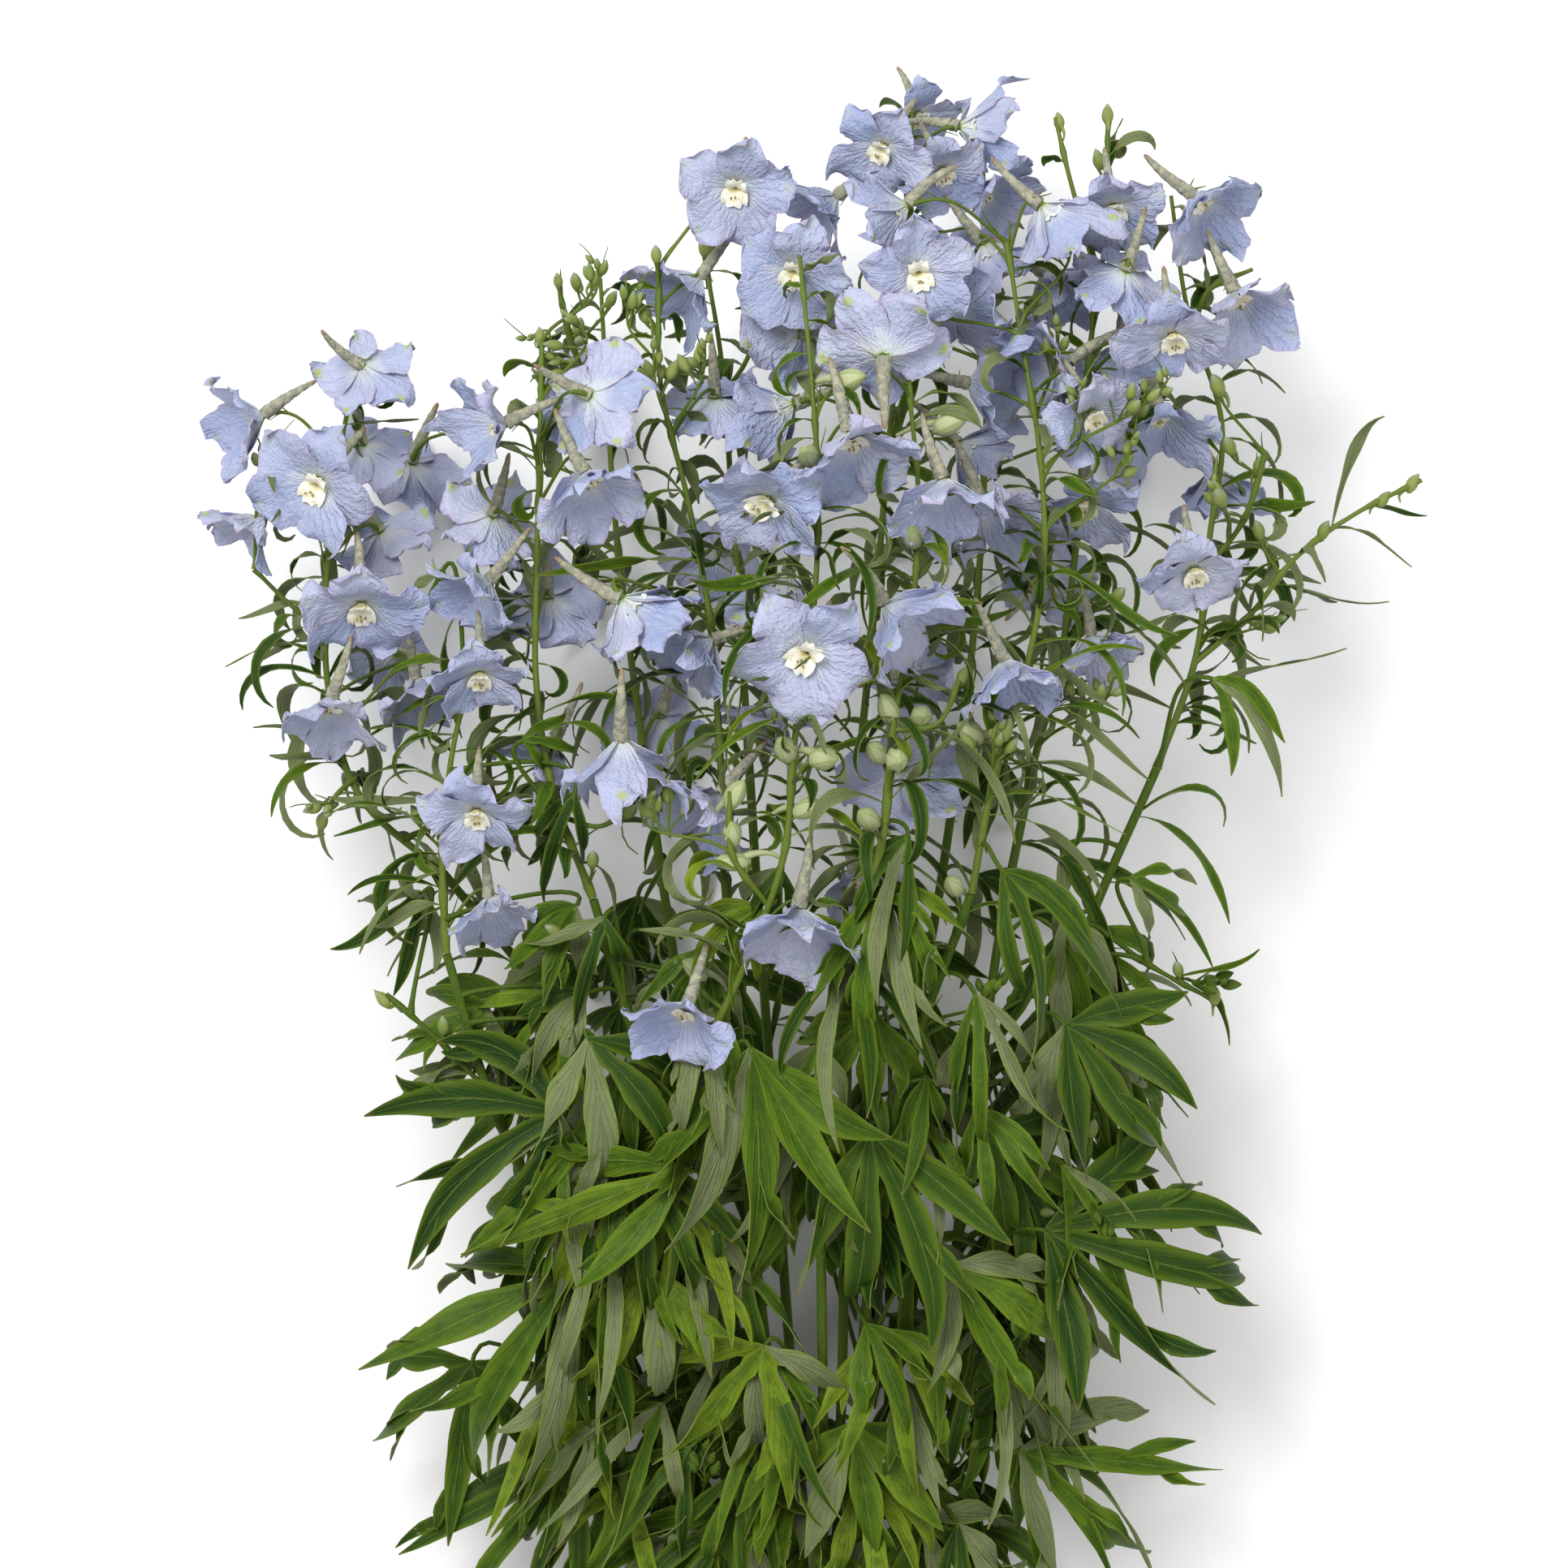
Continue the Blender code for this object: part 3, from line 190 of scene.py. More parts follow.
# Florets: place, layer, the way the flower faces (turn in the view, lift towards the viewer), the way its
# spur points in the view, and the sepal's length in millimetres
FLORETS = [
    (450, 455, 0.50, 300, -50, 170, 20), (445, 548, 0.10, 270, -40, 100, 21),
    (297, 520, 0.50, 200, 17, 30, 21), (390, 600, 0.80, 230, 55, 60, 26), (297, 655, 0.30, 225, 12, 45, 20),
    (470, 660, -0.10, 300, -35, 120, 21), (445, 752, 0.75, 270, 37, 90, 25),
    (405, 888, 0.65, 265, 24, 75, 22), (518, 860, 0.20, 290, 27, 100, 20),
    (594, 838, 0.85, 270, 35, 90, 21), (590, 1006, 0.90, 265, 40, 90, 22),
    (606, 1130, 0.60, 280, 20, 95, 19), (598, 530, 0.85, 190, 24, 25, 22),
    (737, 495, 0.90, 340, -48, 155, 23), (608, 640, 0.50, 250, -45, 70, 22),
    (733, 612, 0.95, 290, 30, 120, 23), (585, 737, 0.75, 225, 24, 50, 22),
    (672, 745, 0.10, 270, -40, 90, 23), (790, 765, 0.90, 310, -15, 150, 25),
    (858, 808, 0.75, 225, 17, 15, 21), (768, 945, 1.00, 270, -5, 92, 25),
    (868, 1000, 0.90, 235, 24, 50, 24), (668, 935, 0.20, 240, 22, 60, 21),
    (850, 1278, 0.90, 260, 32, 70, 22), (978, 1150, 0.95, 265, 26, 80, 25),
    (1064, 1098, 0.45, 300, 32, 100, 20), (828, 360, 0.55, 230, 17, 50, 21),
    (906, 236, 0.80, 260, 60, 80, 23), (880, 500, 0.30, 270, -35, 90, 22),
    (1132, 143, 0.10, 300, 37, 100, 18), (1208, 152, 0.40, 0, -25, 170, 20),
    (1085, 186, 0.90, 240, 45, 60, 21), (1162, 208, 0.45, 300, 42, 110, 19),
    (996, 256, 0.70, 215, 16, 35, 22), (1090, 268, 1.00, 200, -8, 35, 21),
    (1218, 232, 0.10, 330, 32, 150, 21), (1232, 292, 0.50, 300, -20, 120, 21),
    (976, 336, 0.90, 250, 60, 70, 23), (1114, 338, 0.85, 290, 60, 100, 23),
    (972, 402, 0.55, 170, -48, 340, 25), (1168, 388, 0.70, 40, -42, 215, 23),
    (1085, 432, 1.00, 90, -48, 270, 26), (1065, 560, 0.95, 280, 24, 105, 26),
    (945, 505, 0.40, 200, -15, 20, 23), (1222, 478, 0.50, 350, 17, 170, 22),
    (1206, 560, 0.10, 330, -20, 140, 22), (1222, 645, 0.55, 300, 26, 110, 23),
    (945, 632, 0.95, 240, 45, 35, 26), (1150, 642, 0.80, 290, 32, 110, 23),
    (1124, 756, 0.90, 315, 20, 125, 24), (985, 820, 1.00, 260, 60, 50, 27),
    (960, 735, 0.30, 250, -20, 70, 23), (938, 892, 0.40, 240, 17, 60, 21),
    (1112, 958, 0.50, 280, -40, 100, 25), (1264, 842, 0.60, 290, 24, 110, 22),
    (1306, 268, 0.80, 310, -28, 140, 22), (1372, 262, 0.60, 280, 45, 100, 21),
    (1382, 345, 0.75, 250, -38, 70, 22), (1492, 262, 0.70, 310, 30, 145, 23),
    (1300, 362, 0.30, 310, 17, 140, 21), (1530, 386, 0.80, 290, 34, 115, 23),
    (1446, 420, 0.80, 275, 38, 100, 23), (1375, 442, 0.10, 250, 17, 80, 21),
    (1432, 532, 0.40, 280, 24, 100, 22), (1512, 596, 0.10, 290, -20, 110, 21),
    (1470, 710, 0.80, 280, 35, 100, 22), (1286, 460, 0.60, 200, 24, 40, 21),
    (1342, 525, 0.80, 300, 34, 110, 21), (1332, 632, 0.50, 270, 32, 90, 21),
    (1352, 808, 0.40, 290, 17, 100, 20),
]

# Florets that only the underside shows. The bunch rests on the first three: place, turn of the face in the
# view and sepal length. The others: place and sepal length
FEET = [(600, 640, 250, 22), (1400, 520, 300, 22), (1010, 380, 270, 22)]
UNDER_FLORETS = [
    (480, 560, 23), (470, 800, 21), (700, 480, 22), (800, 880, 22), (880, 680, 23), (1190, 330, 22),
    (1300, 700, 22), (1130, 820, 22),
]

# Buds: place, layer, length in millimetres
BUDS = [
    (1305, 132, 0.40, 8), (1368, 120, 0.20, 9), (1352, 178, 0.30, 9), (1440, 380, 0.9, 10),
    (1492, 462, 0.60, 11), (1508, 540, 0.60, 10), (1556, 560, 0.30, 9), (1495, 606, 0.80, 12),
    (1548, 640, 0.30, 9), (1385, 725, 0.50, 9), (1190, 822, 0.85, 9), (683, 330, -0.10, 7),
    (735, 322, -0.40, 8), (757, 350, -0.30, 8), (716, 388, -0.20, 9), (664, 402, 0.40, 8),
    (788, 372, 0.40, 10), (705, 440, 0.30, 10), (868, 285, 0.10, 11), (820, 318, 0.50, 8),
    (940, 368, 0.25, 8), (1120, 655, 1.0, 16), (1190, 520, 0.90, 16), (1065, 470, 1.05, 17),
    (1000, 556, 1.0, 16), (1078, 850, 0.95, 16), (1136, 882, 0.95, 16), (1172, 888, 0.85, 16),
    (960, 912, 1.0, 17), (918, 962, 1.0, 15), (1024, 922, 1.0, 17), (1068, 918, 0.95, 15),
    (1110, 950, 0.95, 16), (1058, 1000, 0.95, 16), (1012, 990, 0.95, 15), (902, 1012, 1.0, 14),
    (880, 1062, 0.95, 15), (842, 1182, 0.80, 14), (1166, 1082, 0.75, 14), (785, 992, 0.60, 9),
    (732, 1048, 0.60, 9), (1226, 900, 0.20, 9), (1405, 492, 0.50, 8), (1752, 582, 0.30, 9),
    (1716, 604, 0.30, 8), (1640, 640, 0.30, 9), (1575, 760, 0.25, 9), (1372, 846, 0.30, 9),
    (1450, 1185, 0.35, 8), (1500, 1216, 0.35, 9), (398, 1000, 0.45, 9), (506, 992, 0.40, 9),
    (528, 1052, 0.40, 10), (460, 1222, 0.50, 9), (545, 1252, 0.60, 9), (672, 1140, 0.60, 10),
    (1350, 1380, 0.55, 9), (1302, 1498, 0.55, 8), (1362, 1490, 0.45, 9), (590, 792, 0.60, 9),
    (446, 420, 0.20, 8),
]

# Leaves: place of the hub, layer, the way the middle lobe points in the view and its lift towards the viewer,
# number of lobes, the fan that they spread over, length and width of the middle lobe in millimetres, droop
LEAVES = [
    (690, 1372, 0.75, 205, 10, 5, 170, 88, 17, 0.25), (705, 1572, 0.80, 232, 8, 5, 130, 104, 18, 0.15),
    (575, 1690, 0.20, 262, 5, 5, 190, 74, 13, 0.20), (1290, 1518, 0.70, 345, 10, 5, 120, 108, 18, 0.12),
    (1172, 1560, 0.90, 318, 12, 4, 100, 74, 16, 0.20), (1312, 1262, 0.70, 310, 8, 5, 140, 72, 16, 0.25),
    (1262, 1800, 0.50, 338, 6, 4, 110, 88, 14, 0.10), (1250, 1700, 0.30, 285, 5, 4, 120, 48, 12, 0.20),
    (925, 1290, 0.85, 276, 6, 5, 90, 98, 18, 0.10), (1072, 1392, 0.95, 284, 6, 4, 90, 104, 17, 0.15),
    (728, 1280, 0.85, 296, 10, 4, 110, 76, 15, 0.15), (850, 1440, 0.95, 196, 8, 3, 60, 96, 15, 0.18),
    (596, 1232, 0.60, 232, 5, 4, 130, 50, 11, 0.25), (1085, 1250, 0.60, 250, 8, 4, 110, 60, 14, 0.20),
    (800, 1560, 0.95, 262, 8, 4, 100, 72, 15, 0.20), (1050, 1760, 0.95, 282, 6, 5, 130, 66, 15, 0.20),
    (652, 905, 0.50, 10, 10, 3, 90, 34, 5, 0.60), (545, 700, 0.30, 245, 10, 3, 80, 32, 5, 0.30),
    (520, 1100, 0.30, 235, 5, 4, 120, 48, 7, 0.30), (1492, 838, 0.50, 335, 8, 3, 70, 58, 7, 0.90),
    (745, 1130, 0.60, 250, 8, 3, 100, 48, 8, 0.30), (1392, 1082, 0.50, 345, 8, 3, 90, 44, 7, 0.40),
    (640, 1262, 0.10, 205, 5, 5, 150, 60, 12, 0.25), (820, 1740, 0.60, 250, 5, 5, 150, 74, 15, 0.15),
    (950, 1640, 0.40, 265, 5, 4, 160, 70, 15, 0.15), (1140, 1640, 0.30, 300, 5, 4, 150, 70, 15, 0.15),
    (900, 1880, 0.50, 262, 4, 5, 150, 62, 14, 0.10), (1130, 1880, 0.40, 292, 4, 5, 150, 62, 14, 0.10),
    (1000, 1450, 0.20, 265, 5, 4, 160, 70, 15, 0.15), (1215, 1400, 0.30, 310, 5, 4, 150, 66, 15, 0.15),
    (760, 1450, -0.30, 225, -5, 4, 160, 72, 15, 0.15), (1240, 1300, -0.40, 315, -5, 4, 160, 66, 15, 0.20),
    (900, 1200, -0.50, 260, -5, 4, 170, 66, 15, 0.15), (1090, 1180, -0.60, 280, -5, 4, 170, 66, 15, 0.15),
]

# The leaf pressed flat on the surface under the bunch: hub, lobes, fan, length and width in millimetres
FLAT_LEAF = (1015, 1480, 6, 250, 62, 16)

SEPALS = 5
NOTCH = 0.62  # how far out the notches between the sepals lie
SHOULDER_DEG = 16
OPEN_CUP = 0.24  # the depth of an open floret's bowl, as a share of its sepals' length
NODDING_CUP = 0.72
OPEN_LIFT_DEG = 34  # a floret that is lifted or lowered by more than this one is open
FOOT_LIFT_DEG = -84
CURL = 0.42  # how far a sepal's tip curls back
HALF_SEPAL_DEG = 36
LEAST_UP = 0.2  # below this one a spur points too nearly at the viewer to say which way is up
WIDEST = 0.5  # how far along its length a leaf's lobe is widest
SAG = 0.16  # how far a leaf's lobes sag from its hub's plane
BUD_PHASE = 0.95
LEAF_STALK_PHASE = 1.2
STALK_INTO_BLADE = 0.0034
STALK_REACH = 0.45  # how long a stalk runs straight at its ends, as a share of its whole way
LEAF_STALK_REACH = 0.4
STALK_RISE = 0.012  # how steeply it leaves the stem
LEAF_STALK_RISE = 0.02
SOLID_SIDES = {"rachis": 3, "stem": 4, "branch": 3}
FINE_STEPS = {"rachis": 9, "stem": 12, "branch": 9}
# How far below its end a stalk leaves its stem
BELOW = {"floret": 0.014, "bud": 0.016, "sprig": 0.030, "leaf": 0.045, "flat leaf": 0.075}
# The part of its layer's height that a piece keeps, so that its own depth has room
FLORET_LAYER = 0.92
BUD_LAYER = 0.95
UNDER_LAYER = -0.75  # the layer of the florets that only the underside shows


def unit(vector):
    return vector / np.linalg.norm(vector)


def units(rows):
    return rows / np.linalg.norm(rows, axis=1)[:, None]


def across_to(vector, way):
    """The part of a direction that is square to the way."""
    return unit(vector - way * vector.dot(way))


def scatter(rng):
    return np.array([rng.uniform(-1, 1) for _ in range(3)])


def bezier(a, b, c, d, steps):
    t = np.linspace(0, 1, steps)[:, None]
    return (1 - t) ** 3 * a + 3 * (1 - t) ** 2 * t * b + 3 * (1 - t) * t * t * c + t**3 * d


def middle_height(y_px):
    return np.interp(y_px, STATIONS_PX, MIDDLE_Z)


def half_depth(y_px):
    return np.interp(y_px, STATIONS_PX, HALF_DEPTH)


def depth(x_px, y_px, layer):
    """Height above the surface at a place of the view, for a layer from -1 (underside) to 1 (top side)."""
    out = (x_px - MIDDLE_PX[0]) / HALF_WIDTH_PX
    roundness = math.sqrt(max(1 - out * out, 0.25))
    return middle_height(y_px) + layer * roundness * half_depth(y_px)


def place(x_px, y_px, z):
    return np.array([(x_px - MIDDLE_PX[0]) * PX, (MIDDLE_PX[1] - y_px) * PX, z])


def toward(turn_deg, lift_deg):
    turn, lift = math.radians(turn_deg), math.radians(lift_deg)
    return np.array([math.cos(lift) * math.cos(turn), math.cos(lift) * math.sin(turn), math.sin(lift)])


def smooth(points, steps):
    """A smooth curve through the points, with the given number of steps between two of them."""
    points = np.asarray(points, float)
    ends = np.vstack([2 * points[0] - points[1], points, 2 * points[-1] - points[-2]])
    t = (np.arange(steps) / steps)[:, None]
    curve = []
    for a, b, c, d in zip(ends[:-3], ends[1:-2], ends[2:-1], ends[3:]):
        square, cube = 2 * a - 5 * b + 4 * c - d, 3 * b - a - 3 * c + d
        curve.append(0.5 * (2 * b + (c - a) * t + square * t**2 + cube * t**3))
    return np.vstack(curve + [points[-1:]])


def resample(curve, spacing):
    """The same curve with points about the spacing apart."""
    run = np.concatenate([[0], np.cumsum(np.linalg.norm(np.diff(curve, axis=0), axis=1))])
    count = max(int(round(run[-1] / spacing)), 2) + 1
    at = np.linspace(0, run[-1], count)
    return np.stack([np.interp(at, run, curve[:, k]) for k in range(3)], axis=1)


def tube(path, radii, sides, phase=0.0):
    """A closed round bar along the path. A radius of 0 at its end gives a point."""
    path = np.asarray(path, float)
    along = np.gradient(path, axis=0)
    side = unit(np.cross(along[0], (0.31, 0.17, 0.93)))
    points, rings = [], []
    for centre, ahead, radius in zip(path, along, radii):
        ahead = unit(ahead)
        side = across_to(side, ahead)
        other = np.cross(ahead, side)
        if radius == 0:
            rings.append([len(points)])
            points.append(centre)
            continue
        rings.append(list(range(len(points), len(points) + sides)))
        for k in range(sides):
            turn = math.tau * k / sides + phase
            points.append(centre + radius * (math.cos(turn) * side + math.sin(turn) * other))
    faces = [rings[0][::-1]]
    for low, high in zip(rings, rings[1:]):
        for k in range(sides):
            nxt = (k + 1) % sides
            if len(high) == 1:
                faces.append([low[k], low[nxt], high[0]])
            else:
                faces.append([low[k], low[nxt], high[nxt], high[k]])
    if len(rings[-1]) > 1:
        faces.append(rings[-1])
    return np.array(points), faces


def thick(top, faces, outline, shift):
    """A closed blade: the faces, the same faces moved by the shift and turned over, and the edge between."""
    count = len(top)
    points = np.vstack([top, top + shift])
    under = [[k + count for k in face[::-1]] for face in faces]
    edge = []
    for a, b in zip(outline, outline[1:] + outline[:1]):
        edge.append([a, a + count, b + count])
        edge.append([a, b + count, b])
    return points, faces + under + edge


def spread(cup):
    """How far out a floret's sepals reach, as a share of their length: less far in a deeper bowl."""
    return 1.03 - 0.12 * cup


def sepal_point(size, cup, lobe, angle_deg, reach):
    """A point of the floret's bowl: right, up (towards the spurred sepal) and forward of its calyx."""
    off = abs(angle_deg) / HALF_SEPAL_DEG
    outline = NOTCH + (1 - NOTCH) * (1 - off**3.2)
    turn = math.radians(90 + 360 / SEPALS * lobe + angle_deg)
    out = size * spread(cup) * reach * outline
    forward = size * ((cup + CURL) * reach - CURL * reach**2 - 0.07 * off * off * reach)
    return np.array([math.cos(turn) * out, math.sin(turn) * out, forward])


def floret_frame(face, spur_turn_deg):
    """The floret's right, up and forward directions, as columns."""
    spur = toward(spur_turn_deg, 0)
    up = spur - face * spur.dot(face)
    if np.linalg.norm(up) < LEAST_UP:
        up = np.array([0.0, 0.0, 1.0]) - face * face[2]
    up = unit(up)
    return np.stack([np.cross(up, face), up, face], axis=1)


def extend(points, faces, ring, centres, radii):
    """Draws a ring of points out along the centres. A radius of 0 at the end gives a point."""
    at = sum(points[k] for k in ring) / len(ring)
    spokes = [unit(points[k] - at) for k in ring]
    ahead = unit(np.cross(spokes[0], spokes[1]))
    for centre, radius in zip(centres, radii):
        way = unit(centre - at)
        turn = Vector(ahead).rotation_difference(Vector(way)).to_matrix()
        spokes = [np.array(turn @ Vector(spoke)) for spoke in spokes]
        at, ahead = centre, way
        fresh = [len(points)] * len(ring) if radius == 0 else [len(points) + k for k in range(len(ring))]
        points.extend([centre] if radius == 0 else [centre + radius * spoke for spoke in spokes])
        for k in range(len(ring)):
            nxt = (k + 1) % len(ring)
            faces.append([ring[k], ring[nxt], fresh[nxt]])
            if radius:
                faces.append([ring[k], fresh[nxt], fresh[k]])
        ring = fresh
    if radii[-1]:
        faces.append(ring)


def floret_mesh(root, calyx, face, frame, size, cup, grow):
    """A floret in one piece, from the root of its stalk to its five sepals and its spur.

    The sepals are one thin bowl with a raised heart. The last faces are the stalk's, and their number is the
    last thing returned.
    """
    top = [sepal_point(size + grow, cup, 0, 0, 0) + (0, 0, 0.30 * size)]
    for lobe in range(SEPALS):
        top.append(sepal_point(size + grow, cup, lobe, 0, 0.5))
    for lobe in range(SEPALS):
        for angle in (-SHOULDER_DEG, SHOULDER_DEG, HALF_SEPAL_DEG):
            top.append(sepal_point(size + grow, cup, lobe, angle, 1))
    first, count = 1 + SEPALS, len(top)
    rim = list(range(first, count))
    faces = []
    for lobe in range(SEPALS):
        nxt = (lobe + 1) % SEPALS
        middle, next_middle = 1 + lobe, 1 + nxt
        low, high, notch = (first + 3 * lobe + k for k in range(3))
        faces.append([0, middle, next_middle])
        faces.append([middle, low, high])
        faces.append([middle, high, notch])
        faces.append([middle, notch, next_middle])
        faces.append([next_middle, notch, first + 3 * nxt])
    points = [point + (0, 0, grow) for point in top]
    points += [points[k] - (0, 0, SEPAL_THICKNESS + 2 * grow) for k in rim]
    under = [k - first + count for k in rim]
    for k in range(len(rim)):
        nxt = (k + 1) % len(rim)
        faces.append([rim[k], under[k], under[nxt]])
        faces.append([rim[k], under[nxt], rim[nxt]])
    ring = []
    for turn in range(4):
        ring.append(len(points))
        angle = math.radians(90 + 90 * turn)
        points.append(np.array([math.cos(angle), math.sin(angle), -0.05]) * (CALYX * size + grow))
    quarter = 0
    for k in range(len(rim)):
        nxt = (k + 1) % len(rim)
        faces.append([under[k], ring[quarter], under[nxt]])
        if quarter < 3 and nxt >= 15 * (quarter + 1) // 4 + 1 or nxt == 0 and quarter == 3:
            following = (quarter + 1) % 4
            faces.append([under[nxt], ring[quarter], ring[following]])
            quarter = following
    points = [frame @ point + calyx for point in points]
    spur = [frame @ (np.array(way) * size) + calyx for way in ((0, 0.34, -0.50), (0, 0.50, -1.05))]
    extend(points, faces, [ring[0], ring[3], ring[1]], spur, (SPUR_RADIUS + grow, 0))
    before = len(faces)
    path = stalk_path(root, calyx, face)
    extend(points, faces, [ring[3], ring[2], ring[1]], path[1::-1], (STALK_RADIUS + grow,) * 2)
    return np.array(points), faces, len(faces) - before


def bow(root, target, ahead, end, reach, rise, steps):
    """A stalk's path, which leaves its stem upwards and bends over into the way ahead."""
    lift = root + reach * unit(target - root + np.array([0, rise, 0]))
    return bezier(root, lift, target - reach * ahead, end, steps)


def stalk_path(root, calyx, ahead):
    return bow(root, calyx, ahead, calyx, STALK_REACH * np.linalg.norm(calyx - root), STALK_RISE, 3)


def bud_mesh(root, base, ahead, length, grow):
    """A bud on its stalk, in one piece from the stem to the bud's tip."""
    radius, wide = STALK_RADIUS + grow, 0.24 * length + grow
    neck = radius + 0.06 * length
    bud = [base + ahead * 0.42 * length, base + ahead * length]
    if length < LARGE_BUD:
        return tube([root, base] + bud, (radius, neck, wide, 0), 3, BUD_PHASE)
    return tube([*stalk_path(root, base, ahead)] + bud, (radius, radius, neck, wide, 0), 3, BUD_PHASE)


def palm(ahead, normal, lobes, fan_deg):
    """A palmate leaf's side, the ways that it hangs and sags, and the turn of each lobe from its middle."""
    down = np.array([0.0, -1.0, 0.0])
    down -= normal * normal.dot(down)
    angles = [math.radians(fan_deg * (k / (lobes - 1) - 0.5)) for k in range(lobes)]
    return unit(np.cross(normal, ahead)), down, -normal * SAG, angles


def turned(ahead, side, turn):
    return math.cos(turn) * ahead + math.sin(turn) * side


def lobe_share(out):
    """A lobe's length as a share of the middle one's, for a turn from 0 (middle) to 1 or -1 (outermost)."""
    return 1 - 0.30 * abs(out) ** 1.5


def leaf_blade(hub, axis, normal, lobes, fan_deg, length, width, droop, grow):
    """A palmate leaf as one thin blade: pointed lobes that fan out from the hub and hang a little."""
    side, down, drop, angles = palm(axis, normal, lobes, fan_deg)
    step = angles[1] - angles[0]
    top = [hub]
    for k in range(lobes + 1):
        turn = angles[0] + step * (k - 0.5)
        reach = (0.20 if 0 < k < lobes else 0.10) * length * lobe_share(turn / angles[-1])
        top.append(hub + reach * turned(axis, side, turn))
    faces, outline = [], [0]
    for k, turn in enumerate(angles):
        ahead = turned(axis, side, turn)
        across = np.cross(normal, ahead)
        reach = length * lobe_share(turn / angles[-1]) + grow
        first = len(top)
        middle = hub + reach * (WIDEST * ahead + WIDEST**2 * (droop * down + drop))
        top.append(middle - across * (0.5 * width + grow))
        top.append(middle + across * (0.5 * width + grow))
        top.append(hub + reach * (ahead + droop * down + drop))
        low, high = 1 + k, 2 + k
        faces.append([0, low, high])
        faces.append([low, first, first + 1, high])
        faces.append([first, first + 2, first + 1])
        outline += [low, first, first + 2, first + 1]
    outline.append(1 + lobes)
    faces = [[face[0], *pair] for face in faces for pair in zip(face[1:-1], face[2:])]
    top = np.array(top) + normal * grow
    return thick(top, faces, outline, -normal * (LEAF_THICKNESS + 2 * grow))


# An open floret: what carries it, its place, the way it faces, its size and the depth of its bowl
Bloom = namedtuple("Bloom", "axis root calyx face frame size cup")
# A bud: what carries it, where its stalk starts and ends, the way it points and its length
Bud = namedtuple("Bud", "axis root base ahead length")
# A leaf: what carries it, where its stalk starts, its hub, the way it points, its upper side and its shape
Leaf = namedtuple("Leaf", "axis root hub ahead normal shape")


class Space:
    """What is already placed, so that the next piece can be bent clear of it."""

    def __init__(self):
        self.placed = []

    def add(self, owner, mesh):
        points, faces = mesh
        tree = BVHTree.FromPolygons(points.tolist(), faces)
        self.placed.append((owner, points.min(axis=0), points.max(axis=0), tree))

    def clear(self, mesh, leave_out=()):
        points, faces = mesh
        low, high = points.min(axis=0), points.max(axis=0)
        if low[2] < CLEARANCE:
            return False
        tree = None
        for owner, other_low, other_high, other in self.placed:
            if owner in leave_out or (low > other_high).any() or (high < other_low).any():
                continue
            if tree is None:
                tree = BVHTree.FromPolygons(points.tolist(), faces)
            if tree.overlap(other):
                return False
        return True


class Axis:
    """A stem, flowering top or branch: its node, its radii, and its centre line, coarse and fine."""

    def __init__(self, node, kind, path, first_radius, last_radius):
        self.node = node
        self.kind = kind
        self.path = path
        self.fine = smooth(path, FINE_STEPS[kind])
        self.radii = np.linspace(first_radius, last_radius, len(path))


def stem_axes():
    """The lower stem and the flowering top of each stem, then the side branches."""
    axes = []
    for name, (layer, slot, top_px, route) in STEMS.items():
        points = [place(x, y, depth(x, y, layer)) for x, y in route]
        side, up = slot[0] * STEM_PITCH, slot[1] * ROW_PITCH
        for y_px in (TIE_PX - 45, TIE_PX, TIE_PX + 45, CUT_PX):
            points.append(place(MIDDLE_PX[0], y_px, MIDDLE_Z[-1]) + (side, 0, up))
        curve = smooth(points, 8)
        split = place(0, top_px, 0)[1]
        upper = resample(curve[curve[:, 1] >= split], RACHIS_STEP)
        tie_top = points[-4][1]
        lower = resample(curve[(curve[:, 1] < split) & (curve[:, 1] >= tie_top)], STEM_STEP)
        lower = np.vstack([lower, points[-1:]])
        lower[0] = upper[-1] + unit(lower[0] - upper[-1]) * JOINT_GAP
        axes.append(Axis("spray_" + name, "rachis", upper, TIP_RADIUS, RACHIS_RADIUS))
        axes.append(Axis("stem_" + name, "stem", lower, RACHIS_RADIUS, STEM_RADIUS))
    stems = list(axes)
    for name, layer, route in BRANCHES:
        tip = [place(x, y, depth(x, y, layer)) for x, y in route]
        owner, root = min(
            ((axis, foot(axis, tip[0])) for axis in stems if axis.node.split("_", 1)[1] == name),
            key=lambda pair: np.linalg.norm(pair[1] - tip[0]),
        )
        lift = (root[2] - tip[0][2]) * np.linspace(1, 0, len(tip)) ** 2
        for point, more in zip(tip, lift):
            point[2] += more
        path = resample(smooth([root] + tip[1:], 8), BRANCH_STEP)
        axes.append(Axis(owner.node, "branch", path, BRANCH_RADIUS, TIP_RADIUS))
    return axes


def foot(axis, point):
    """The point of the axis's centre line that is nearest."""
    a, b = axis.path[:-1], axis.path[1:]
    t = np.clip(((point - a) * (b - a)).sum(axis=1) / ((b - a) ** 2).sum(axis=1), 0.02, 0.98)
    feet = a + t[:, None] * (b - a)
    return feet[np.argmin(np.linalg.norm(feet - point, axis=1))]


def nearest_axis(axes, point, below):
    """The axis that carries a stalk ending at the point, and where the stalk leaves it."""
    wanted = point - np.array([0, below, 0])
    found = [(np.linalg.norm(foot(axis, wanted) - wanted), k) for k, axis in enumerate(axes)]
    axis = axes[min(found)[1]]
    return axis, foot(axis, wanted)


def tries(rng, steps, spread):
    """Small moves to try in turn: none, then ever wider ones, mostly in depth."""
    yield np.zeros(3), 0.0, 0.0
    for k in range(1, steps):
        reach = spread * k / steps
        yield (
            np.array([rng.uniform(-0.25, 0.25), rng.uniform(-0.25, 0.25), rng.uniform(-1, 1)]) * reach,
            rng.uniform(-1, 1) * 22 * k / steps,
            rng.uniform(-1, 1) * 22 * k / steps,
        )


